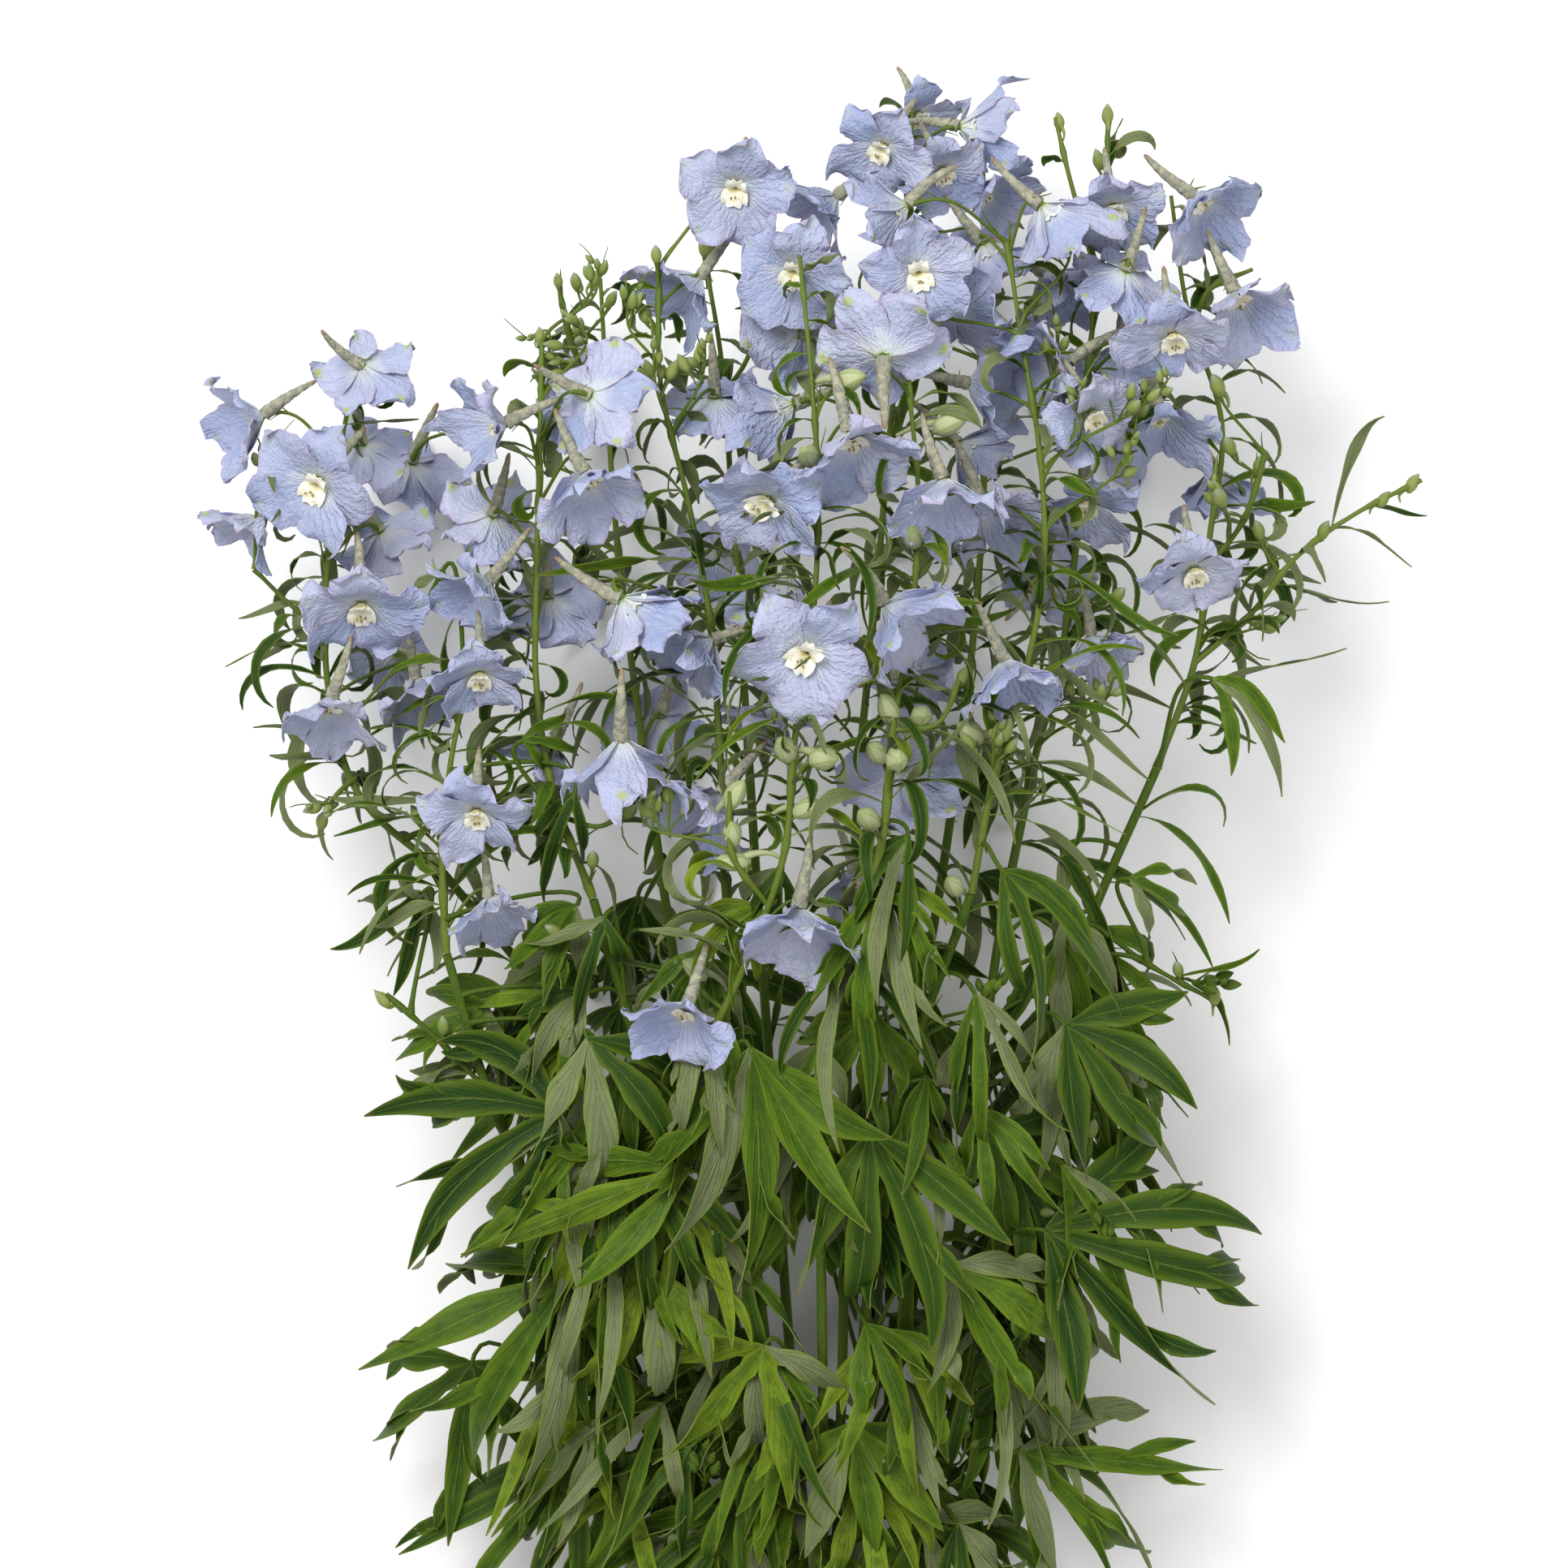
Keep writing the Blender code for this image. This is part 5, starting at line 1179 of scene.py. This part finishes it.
def add_wood(form, axis, roots, rng):
    """A stem or branch, a little thicker where something grows from it."""
    sides = WOOD_SIDES[axis.kind]
    path = axis.fine
    radii = np.interp(np.linspace(0, 1, len(path)), np.linspace(0, 1, len(axis.radii)), axis.radii)
    for root in roots:
        away = np.linalg.norm(path - root, axis=1)
        radii = radii + 0.0007 * np.exp(-((away / 0.0035) ** 2))
    turns = math.tau * np.arange(sides) / sides
    ridges = 1 + 0.035 * np.cos(3 * turns)
    slender = 0.95 if axis.kind == "stem" else 0.82
    radii = slender * np.minimum(radii, MOST_RADIUS)[:, None] * ridges
    bar(form, path, radii, sides, shade=rng.uniform(0, 1), kind=STALK)


def add_lobe(
    form, hub, ahead, normal, reach, width, pull, rng, shade,
    sinus=None, ribbon=False, flat=False, over=False, grid=STRAP_GRID,
):
    """One pointed lobe: it leaves the hub along ahead, hangs the way pull says, and curls and twists.

    On each hand, sinus says how far out the lobe joins its neighbour and how wide it is there.
    """
    rows, columns = grid
    v = np.linspace(0, 1, rows)
    across = np.cross(normal, ahead)
    coil = rng.uniform(-1.2, 4.0 if ribbon else 2.2)
    sway = rng.uniform(-1.1, 1.1) * (1.5 if ribbon else 1)
    pull = pull * rng.uniform(0.7, 1.7)
    if flat:
        coil = sway = 0.0
    heading = units(ahead + 2 * v[:, None] * pull + v[:, None] ** 3 * sway * across)
    roll = (coil * v**2.2)[:, None]
    heading = units(heading * np.cos(roll) - np.cross(heading, across) * np.sin(roll))
    steps = np.cumsum((heading[1:] + heading[:-1]) / 2, axis=0)
    middle = hub + np.vstack([np.zeros(3), steps]) * reach / (rows - 1)
    twist = 0.0 if flat else rng.uniform(-2.0, 2.0) * (1.4 if ribbon else 1)
    turn = (twist * v**1.4)[:, None]
    side = units(across - heading * (heading * across).sum(axis=1)[:, None])
    face = np.cross(heading, side)
    side, face = side * np.cos(turn) + face * np.sin(turn), face * np.cos(turn) - side * np.sin(turn)
    shape = np.interp(v, LOBE_RUN, LOBE_WIDTHS)
    halves = []
    for hand in (0, 1):
        half = width / 2 * shape * (1 + 0.07 * np.sin(rng.uniform(9, 16) * v + rng.uniform(0, 6)))
        if sinus:
            far, wide = sinus[hand]
            half = np.maximum(half, np.interp(v, (0, far, far + 0.12), (0.0003, wide, 0)))
        halves.append(half[:, None] + 0.0002)
    u = np.linspace(-1, 1, columns)[None, :]
    offset = np.where(u < 0, u * halves[0], u * halves[1])
    fold = 0.0 if flat else rng.uniform(-0.15, 0.45)
    ripple = 0.0 if flat else rng.uniform(0.0004, 0.0013)
    wave = ripple * u * u * np.sin(rng.uniform(8, 15) * v[:, None] + rng.uniform(0, 6) + 1.6 * u)
    height = fold * np.abs(offset) + wave * np.sin(math.pi * np.minimum(v * 1.2, 1))[:, None]
    skin = middle[:, None] + offset[..., None] * side[:, None] + height[..., None] * face[:, None]
    skin = kept_inside(skin, hub)
    sheet(form, skin[:, ::-1] if over else skin, LEAF_SKIN, shade=shade, kind=BLADE)
    return middle, heading, side, face


def painted_depth_shade(point):
    """Painted shade: a leaf's tone is made darker the lower in the bunch it grows, standing in for the shade
    deep inside the bunch.
    """
    y_px = MIDDLE_PX[1] - point[1] / PX
    share = (point[2] - middle_height(y_px)) / half_depth(y_px)
    return min(max(0.45 + 0.6 * share, 0.15), 1.0)


def add_fine_leaf(form, leaf, rng, grids=LOBE_GRIDS):
    """A palmate leaf: a long stalk, and pointed lobes with narrow side segments that join round the hub."""
    lobes, fan_deg, length, width, droop = leaf.shape
    root = on_axis(leaf.axis, leaf.root)
    reach = LEAF_STALK_REACH * np.linalg.norm(leaf.hub - leaf.root)
    end = leaf.hub + 0.003 * leaf.ahead - 0.0004 * leaf.normal
    stalk = bow(root, leaf.hub, leaf.ahead, end, reach, LEAF_STALK_RISE, 14)
    bar(form, stalk, flared(0.00095, 0.0009, 0.05, len(stalk)), 7, shade=rng.uniform(0, 1), kind=STALK)
    side, down, drop, angles = palm(leaf.ahead, leaf.normal, lobes, fan_deg)
    step = angles[1] - angles[0]
    # painted shade: the leaf's random tone is darkened the lower it grows in the bunch
    shade = rng.uniform(0, 1) * painted_depth_shade(leaf.hub)
    ribbon = width < RIBBON_WIDTH
    flat = leaf.ahead[2] == 0 and droop == 0
    for k, turn in enumerate(angles):
        ahead = turned(leaf.ahead, side, turn)
        reach = length * lobe_share(turn / angles[-1])
        sinus = []
        for hand in (-1, 1):
            outer = k == (0 if hand < 0 else lobes - 1)
            between = min(abs((turn + hand * step / 2) / angles[-1]), 1.2)
            far = (0.08 if outer else 0.16) * length * lobe_share(between)
            sinus.append((far * math.cos(step / 2) / reach, far * math.sin(step / 2)))
        pull = np.zeros(3) if flat else droop * down + drop
        tint = min(max(shade + rng.uniform(-0.12, 0.12), 0), 1)
        centre = leaf.hub + leaf.normal * 0.0002 * (k % 2)
        over = not flat and rng.uniform(0, 1) < UNDERSIDE_SHARE
        middle, heading, lobe_side, face = add_lobe(
            form, centre, ahead, leaf.normal, reach, width, pull, rng, tint,
            sinus=sinus, ribbon=ribbon, flat=flat, over=over, grid=grids[0],
        )
        for hand in (-1, 1):
            if ribbon or rng.uniform(0, 1) > SEGMENT_SHARE:
                continue
            row = int(rng.uniform(0.38, 0.62) * grids[0][0])
            out = unit(heading[row] + hand * rng.uniform(0.35, 0.62) * lobe_side[row])
            start, share = middle[row] - face[row] * 0.0003, rng.uniform(0.30, 0.46)
            add_lobe(
                form, start, out, face[row], reach * share, width * 0.52, pull * 0.6, rng, tint,
                flat=flat, over=over, grid=grids[1],
            )


def add_straps(form, root, outward, y_px, tint, rng):
    """One or two narrow straps that leave a stem at a place."""
    for _ in range(1 if y_px < SINGLE_STRAPS_PX else 2):
        away = np.array([rng.uniform(-1, 1), rng.uniform(-0.1, 0.9), rng.uniform(-1, 0.35)])
        away = unit(away + 0.4 * outward)
        normal = unit(np.cross(away, np.cross((0.0, 1.0, 0.2), away)) + 1e-6)
        reach = rng.uniform(0.024, 0.062) * min(max(y_px / FULL_STRAPS_PX, 0.5), 1.1)
        pull = np.array([0, -rng.uniform(0.2, 0.9), -0.05])
        width = rng.uniform(0.0028, 0.0075)
        over = rng.uniform(0, 1) < UNDERSIDE_SHARE
        add_lobe(form, root, away, normal, reach, width, pull, rng, tint, ribbon=True, over=over)


def add_small_leaf(form, axis, root, outward, y_px, rng):
    """A smaller palmate leaf that reaches outward from a stem, inside the bunch."""
    hub = root + outward * rng.uniform(0.010, 0.036) + np.array([0, rng.uniform(-0.01, 0.02), 0])
    hub_px = hub[0] / PX + MIDDLE_PX[0]
    hub_px = min(max(hub_px, MIDDLE_PX[0] - HUB_REACH_PX), MIDDLE_PX[0] + HUB_REACH_PX)
    hub[0] = (hub_px - MIDDLE_PX[0]) * PX
    hub[2] = min(max(hub[2], 0.02), depth(hub_px, y_px, 0.72))
    share = rng.uniform(0.2, 0.9)
    away = unit(outward * share + np.array([rng.uniform(-0.6, 0.6), rng.uniform(-1.2, -0.1), 0]))
    away[2] = rng.uniform(0.0, 0.5) if hub[2] > middle_height(y_px) else rng.uniform(-0.3, 0.2)
    away = unit(away)
    normal = unit(np.array([-0.3 * away[0], 0.45, 1.0]))
    normal = across_to(normal, away)
    lobes = rng.choice((3, 4, 4, 5))
    fan_deg, length = rng.uniform(18, 28) * lobes, rng.uniform(0.045, 0.095)
    shape = (lobes, fan_deg, length, rng.uniform(0.0068, 0.0112), rng.uniform(0.4, 1.1))
    add_fine_leaf(form, Leaf(axis, root, hub, away, normal, shape), rng, SMALL_GRIDS)


def add_more_leaves(form, axis, rng):
    """The narrow straps and smaller leaves along one stem, which fill the bunch between the large leaves."""
    path = axis.fine
    pitch = LEAF_PITCH[axis.kind]
    run = np.concatenate([[0], np.cumsum(np.linalg.norm(np.diff(path, axis=0), axis=1))])
    for at in np.arange(pitch * rng.uniform(0.6, 1.4), run[-1] - 0.012, pitch):
        root = np.array([np.interp(at, run, path[:, k]) for k in range(3)])
        y_px = MIDDLE_PX[1] - root[1] / PX
        if y_px > MOST_LEAFY_PX:
            continue
        outward = np.array([root[0], 0, root[2] - middle_height(y_px)])
        outward = unit(outward + 0.02 * np.array([rng.uniform(-1, 1), 0, rng.uniform(-1, 1)]) + 1e-6)
        # painted shade: the straps' random tone is darkened the lower they grow in the bunch
        tint = rng.uniform(0, 1) * painted_depth_shade(root)
        leafy = (y_px - STRAP_ZONE_PX) / (LEAF_ZONE_PX - STRAP_ZONE_PX)
        if rng.uniform(0, 1) > leafy:
            add_straps(form, root, outward, y_px, tint, rng)
        elif rng.uniform(0, 1) >= BARE_SHARE:
            add_small_leaf(form, axis, root, outward, y_px, rng)


def add_sprig(form, axes, spot, rng):
    """A thin side shoot with a cluster of small buds at its end."""
    x_px, y_px, layer, buds, turn_deg = spot
    tip = place(x_px, y_px, depth(x_px, y_px, layer))
    axis, root = nearest_axis(axes, tip, BELOW["sprig"])
    root = on_axis(axis, root)
    way = toward(turn_deg, 10)
    lift = root + 0.4 * np.linalg.norm(tip - root) * unit(tip - root + np.array([0, LEAF_STALK_RISE, 0]))
    path = bezier(root, lift, tip - 0.016 * way, tip + 0.004 * way, 14)
    bar(form, path, np.linspace(*SPRIG_RADII, len(path)), 6, shade=rng.uniform(0, 1), kind=STALK)
    for k in range(buds):
        at = path[len(path) - 1 - min(k, 6)]
        ahead = unit(way + 0.9 * np.array([rng.uniform(-1, 1), rng.uniform(-0.6, 1), rng.uniform(-1, 1)]))
        length = rng.uniform(0.0045, 0.0062) + 0.0006 * k
        end = at + ahead * (0.0015 + 0.0012 * k)
        stalk = [at, (at + end) / 2 + np.array([0, 0.0004, 0]), end]
        bar(form, stalk, SPRIG_STALK_RADII, 5, shade=0.5, kind=STALK)
        t = np.linspace(0.03, 1, 7)
        swell = 0.25 * length * np.sin(math.pi * np.minimum(t, 0.99) ** 0.85) ** 0.8 + 0.0001
        bar(form, end + ahead * (t * length)[:, None], swell, 8, shade=rng.uniform(0, 1), kind=SMALL)
        if k % 2 == 0:
            add_bract(form, at, ahead, rng)


class Wire:
    """A value that varies over a surface. Sums written on it become maths nodes."""

    def __init__(self, finish, socket):
        self.finish = finish
        self.socket = socket

    def maths(self, operation, other=0.0):
        return self.finish.node("Math", {"operation": operation}, {0: self, 1: other})

    def __add__(self, other):
        return self.maths("ADD", other)

    def __sub__(self, other):
        return self.maths("SUBTRACT", other)

    def __mul__(self, other):
        return self.maths("MULTIPLY", other)

    def __abs__(self):
        return self.maths("ABSOLUTE")

    __radd__ = __add__
    __rmul__ = __mul__

    def sine(self):
        return self.maths("SINE")

    def between(self, low, high):
        """A smooth climb from 0 at low to 1 at high. High may be the lesser one."""
        settings = {"interpolation_type": "SMOOTHSTEP"}
        return self.finish.node("MapRange", settings, {"Value": self, "From Min": low, "From Max": high})


class Finish:
    """A material, with the values its surface carries and one method for every other node."""

    def __init__(self, name, **constants):
        self.material = bpy.data.materials.new(name)
        self.material.use_nodes = True
        self.tree = self.material.node_tree
        self.shader = self.tree.nodes["Principled BSDF"]
        for socket, value in constants.items():
            self.shader.inputs[socket.replace("_", " ")].default_value = value

    def node(self, kind, settings, inputs, output=0):
        node = self.tree.nodes.new("ShaderNode" + kind)
        for key, value in settings.items():
            setattr(node, key, value)
        for key, value in inputs.items():
            if isinstance(value, Wire):
                self.tree.links.new(value.socket, node.inputs[key])
            else:
                node.inputs[key].default_value = value
        return Wire(self, node.outputs[output])

    def values(self, *names):
        return [self.node("Attribute", {"attribute_name": name}, {}, "Fac") for name in names]

    def noise(self, scale, detail=3.0, stretch=(1, 1, 1)):
        where = self.node("TexCoord", {}, {}, "Object")
        where = self.node("Mapping", {}, {"Vector": where, "Scale": stretch}, "Vector")
        return self.node("TexNoise", {}, {"Vector": where, "Scale": scale, "Detail": detail})

    def mix(self, share, first, second):
        return self.node("Mix", {"data_type": "RGBA"}, {0: share, 6: first, 7: second}, 2)

    def wear(self, base, roughness, height, depth_m):
        self.tree.links.new(base.socket, self.shader.inputs["Base Color"])
        self.tree.links.new(roughness.socket, self.shader.inputs["Roughness"])
        bump = self.node("Bump", {}, {"Strength": 0.7, "Distance": depth_m, "Height": height}, "Normal")
        self.tree.links.new(bump.socket, self.shader.inputs["Normal"])
        return self.material


def petal_finish():
    """Pale blue tissue with veins, lilac edges, a pale throat and a green spot at the tip; grey spurs."""
    finish = Finish("delphinium_petal", Specular_IOR_Level=0.2)
    u, v, ray, back, shade, kind = finish.values(*VALUES)
    mottle, grain, crinkle = finish.noise(160), finish.noise(900, 2), finish.noise(420, 3)
    veins = (ray * 95 + mottle * 3).sine()
    lines = veins.between(0.2, 1.0) * v.between(0.05, 0.3) * v.between(1.05, 0.6)
    tissue = finish.mix(shade * 0.65 + mottle * 0.35, colour(137, 153, 190), colour(180, 183, 202))
    tissue = finish.mix(lines * 0.12, tissue, colour(112, 124, 170))
    tissue = finish.mix(crinkle.between(0.46, 0.72) * 0.4, tissue, colour(184, 178, 202))
    tissue = finish.mix(abs(u).between(0.62, 1.0) * 0.45, tissue, colour(172, 166, 198))
    tissue = finish.mix(v.between(0.80, 1.0) * 0.35, tissue, colour(162, 166, 194))
    edge = abs(u).between(0.84, 1.0) + v.between(0.93, 1.0)
    worn = edge * crinkle.between(0.4, 0.6) * shade.between(0.2, 0.9)
    tissue = finish.mix(worn * 0.5, tissue, colour(134, 116, 118))
    tissue = finish.mix(v.between(0.42, 0.05) * 0.75, tissue, colour(216, 222, 222))
    tissue = finish.mix(v.between(0.13, 0.02) * (0.35 + 0.6 * back), tissue, colour(168, 196, 118))
    spot = v.between(0.78, 0.88) * v.between(0.99, 0.92) * abs(u).between(0.42, 0.12)
    tissue = finish.mix(spot * (0.25 + 0.6 * back), tissue, colour(160, 172, 92))
    spur = finish.mix(crinkle.between(0.35, 0.65), colour(160, 158, 134), colour(134, 134, 120))
    spur = finish.mix(v.between(0.78, 1.0), spur, colour(140, 118, 92))
    spur = finish.mix(grain.between(0.55, 0.75) * 0.4, spur, colour(124, 120, 116))
    base = finish.mix(kind, tissue, spur)
    folds = veins * 0.05 + (ray * 26 + crinkle * 12).sine() * 0.18
    folds = folds + crinkle * 0.8 + mottle * 1.6 + grain * 0.25
    return finish.wear(base, 0.50 + grain * 0.2, folds, 0.0013)


def heart_finish():
    """White petals, yellow hairs and brown anthers."""
    finish = Finish("delphinium_heart", Specular_IOR_Level=0.3)
    v, kind = finish.values("along", "kind")
    grain = finish.noise(1500, 2)
    white = finish.mix(grain, colour(240, 238, 224), colour(218, 216, 200))
    white = finish.mix(v.between(0.5, 0.1) * 0.6, white, colour(226, 212, 128))
    base = finish.mix(kind.between(0.2, 0.45), white, colour(238, 216, 112))
    base = finish.mix(kind.between(0.6, 0.9), base, colour(138, 122, 96))
    return finish.wear(base, 0.45 + grain * 0.25, grain, 0.0003)


def green_finish():
    """Flower stalks and small green buds; the large buds are cream with green ribs."""
    finish = Finish("delphinium_stalk", Specular_IOR_Level=0.25)
    rib, v, shade, kind = finish.values("across", "along", "shade", "kind")
    mottle, streak = finish.noise(240), finish.noise(1.0, 3, (1500, 240, 1500))
    stalk = finish.mix(shade * 0.6 + streak * 0.4, colour(64, 88, 22), colour(98, 114, 36))
    small = finish.mix(shade * 0.5 + mottle * 0.5, colour(94, 114, 44), colour(134, 142, 78))
    small = finish.mix(v.between(0.6, 1.0) * 0.5, small, colour(142, 155, 142))
    large = finish.mix(mottle * 0.6 + shade * 0.4, colour(173, 178, 137), colour(158, 166, 120))
    large = finish.mix(rib.between(0.25, 1.0) * 0.75, large, colour(117, 140, 65))
    large = finish.mix(v.between(0.8, 1.0) * 0.6, large, colour(120, 143, 73))
    base = finish.mix(kind.between(0.2, 0.45), stalk, small)
    base = finish.mix(kind.between(0.6, 0.9), base, large)
    return finish.wear(base, 0.48 + mottle * 0.2, streak * 0.6 + mottle, 0.0004)


def foliage_finish():
    """Bright and dark green leaves, the lower ones darker as painted shade, with pale ribs and sage
    undersides, and streaked green stems.
    """
    finish = Finish("delphinium_foliage", Specular_IOR_Level=0.12)
    u, v, back, shade, kind = finish.values("across", "along", "back", "shade", "kind")
    mottle, grain, streak = finish.noise(170), finish.noise(1100, 2), finish.noise(1.0, 3, (1500, 130, 1500))
    # The leaf's tone follows shade: random, and darker lower in the bunch as painted shade
    top = finish.mix(shade.between(0.0, 0.55), colour(24, 50, 9), colour(68, 95, 16))
    top = finish.mix(shade.between(0.55, 1.0), top, colour(110, 130, 28))
    dark = mottle.between(0.40, 0.62) * abs(u).between(0.95, 0.2)
    top = finish.mix(dark * 0.45, top, colour(26, 60, 10))
    under = finish.mix(mottle, colour(92, 102, 66), colour(116, 124, 90))
    leaf = finish.mix(back, top, under)
    branches = ((v * 5 - abs(u) * 2.4) * math.tau).sine().between(0.6, 1.0) * v.between(0.05, 0.2)
    rib = abs(u).between(0.10, 0.03)
    leaf = finish.mix(branches * 0.14, leaf, colour(100, 122, 44))
    leaf = finish.mix(rib * 0.24, leaf, colour(126, 144, 62))
    leaf = finish.mix(abs(u).between(0.35, 1.0) * 0.35, leaf, colour(112, 134, 30))
    leaf = finish.mix(v.between(0.93, 1.0) * 0.6, leaf, colour(122, 106, 54))
    stem = finish.mix(streak, colour(46, 72, 14), colour(80, 100, 26))
    stem = finish.mix(mottle.between(0.55, 0.8) * 0.3, stem, colour(92, 82, 50))
    base = finish.mix(kind, stem, leaf)
    height = grain * 0.4 + mottle * 0.8 + (rib * 0.8 + branches * 0.6) * kind + streak * 0.3
    return finish.wear(base, 0.36 + grain * 0.2, height, 0.0009)


def band_finish():
    """A plain tan elastic band with a fine ribbed weave."""
    finish = Finish("elastic_band", Specular_IOR_Level=0.35)
    ribs, grain = finish.noise(1.0, 1, (300, 2600, 300)), finish.noise(1400, 2)
    base = finish.mix(ribs, colour(186, 160, 118), colour(156, 130, 92))
    return finish.wear(base, 0.6 + grain * 0.2, ribs + grain * 0.4, 0.0004)


def build_bunch():
    """Every fine piece of the bunch, in place of its solid."""
    axes, things = arrange()
    rng = random.Random(SEED + 1)
    petal, heart, green, foliage = petal_finish(), heart_finish(), green_finish(), foliage_finish()
    for name in STEMS:
        petals, hearts, greens, leaves = Form(), Form(), Form(), Form()
        spray, stem = "spray_" + name, "stem_" + name
        for axis in axes:
            if axis.node not in (spray, stem):
                continue
            roots = [on_axis(axis, thing.root) for thing in things if thing.axis is axis]
            wood = greens if axis.node == spray else leaves
            add_wood(wood, axis, roots, rng)
            add_more_leaves(leaves, axis, rng)
        for spot in SPRIGS:
            carrier = nearest_axis(axes, place(*spot[:2], depth(*spot[:3])), BELOW["sprig"])[0]
            if carrier.node == spray:
                add_sprig(greens, axes, spot, rng)
            elif carrier.node == stem:
                add_sprig(leaves, axes, spot, rng)
        for thing in things:
            if thing.axis.node not in (spray, stem):
                continue
            if isinstance(thing, Bloom):
                for lobe in range(SEPALS):
                    add_sepal(petals, thing, lobe, rng)
                add_spur(petals, thing, rng)
                add_heart(hearts, thing, rng)
                add_stalk(greens, thing, rng)
            elif isinstance(thing, Bud):
                add_fine_bud(greens, thing, rng)
            else:
                add_fine_leaf(leaves, thing, rng)
        for form, title, material, node, slot in (
            (petals, "petals_" + name, petal, spray, "petals"),
            (hearts, "hearts_" + name, heart, spray, "petals"),
            (greens, "stalks_" + name, green, spray, "leaves"),
            (leaves, "foliage_" + name, foliage, stem, "leaves"),
        ):
            if form.count:
                form.finish(title, material, node, slot)
    tie = frame["nodes"]["tie"]
    tie.data.materials.clear()
    tie.data.materials.append(band_finish())


def add_floor():
    bpy.ops.mesh.primitive_plane_add(size=FLOOR_SIZE, location=(0, 0, FLOOR_Z))
    floor = bpy.context.active_object
    floor.name = "floor"
    finish = Finish("floor", Specular_IOR_Level=0.2)
    finish.shader.inputs["Base Color"].default_value = FLOOR_WHITE
    finish.shader.inputs["Roughness"].default_value = 0.85
    floor.data.materials.append(finish.material)


def add_light(name, where, size, watts):
    light = bpy.data.lights.new(name, "AREA")
    light.size = size
    light.energy = watts
    lamp = bpy.data.objects.new(name, light)
    bpy.context.scene.collection.objects.link(lamp)
    lamp.location = where
    lamp.rotation_euler = (Vector((0, 0, 0.05)) - Vector(where)).to_track_quat("-Z", "Y").to_euler()


def add_camera():
    """A long lens straight above, with the photograph's frame."""
    lens = bpy.data.cameras.new("camera")
    lens.sensor_width = SENSOR_MM
    lens.lens = SENSOR_MM * (CAMERA_Z - VIEW_Z) / VIEW_WIDTH
    lens.clip_end = 50
    camera = bpy.data.objects.new("camera", lens)
    bpy.context.scene.collection.objects.link(camera)
    camera.location = place(*VIEW_PX, CAMERA_Z)
    camera.rotation_euler = (0, 0, 0)
    bpy.context.scene.camera = camera


def main():
    for obj in bpy.context.selected_objects:
        obj.select_set(False)
    build_bunch()
    add_floor()
    for light in LIGHTS:
        add_light(*light)
    world = bpy.data.worlds.new("studio")
    world.use_nodes = True
    sky = world.node_tree.nodes["Background"]
    sky.inputs["Color"].default_value = (1, 1, 1, 1)
    sky.inputs["Strength"].default_value = SKY_STRENGTH
    bpy.context.scene.world = world
    bpy.context.scene.view_settings.view_transform = "Standard"
    add_camera()


main()
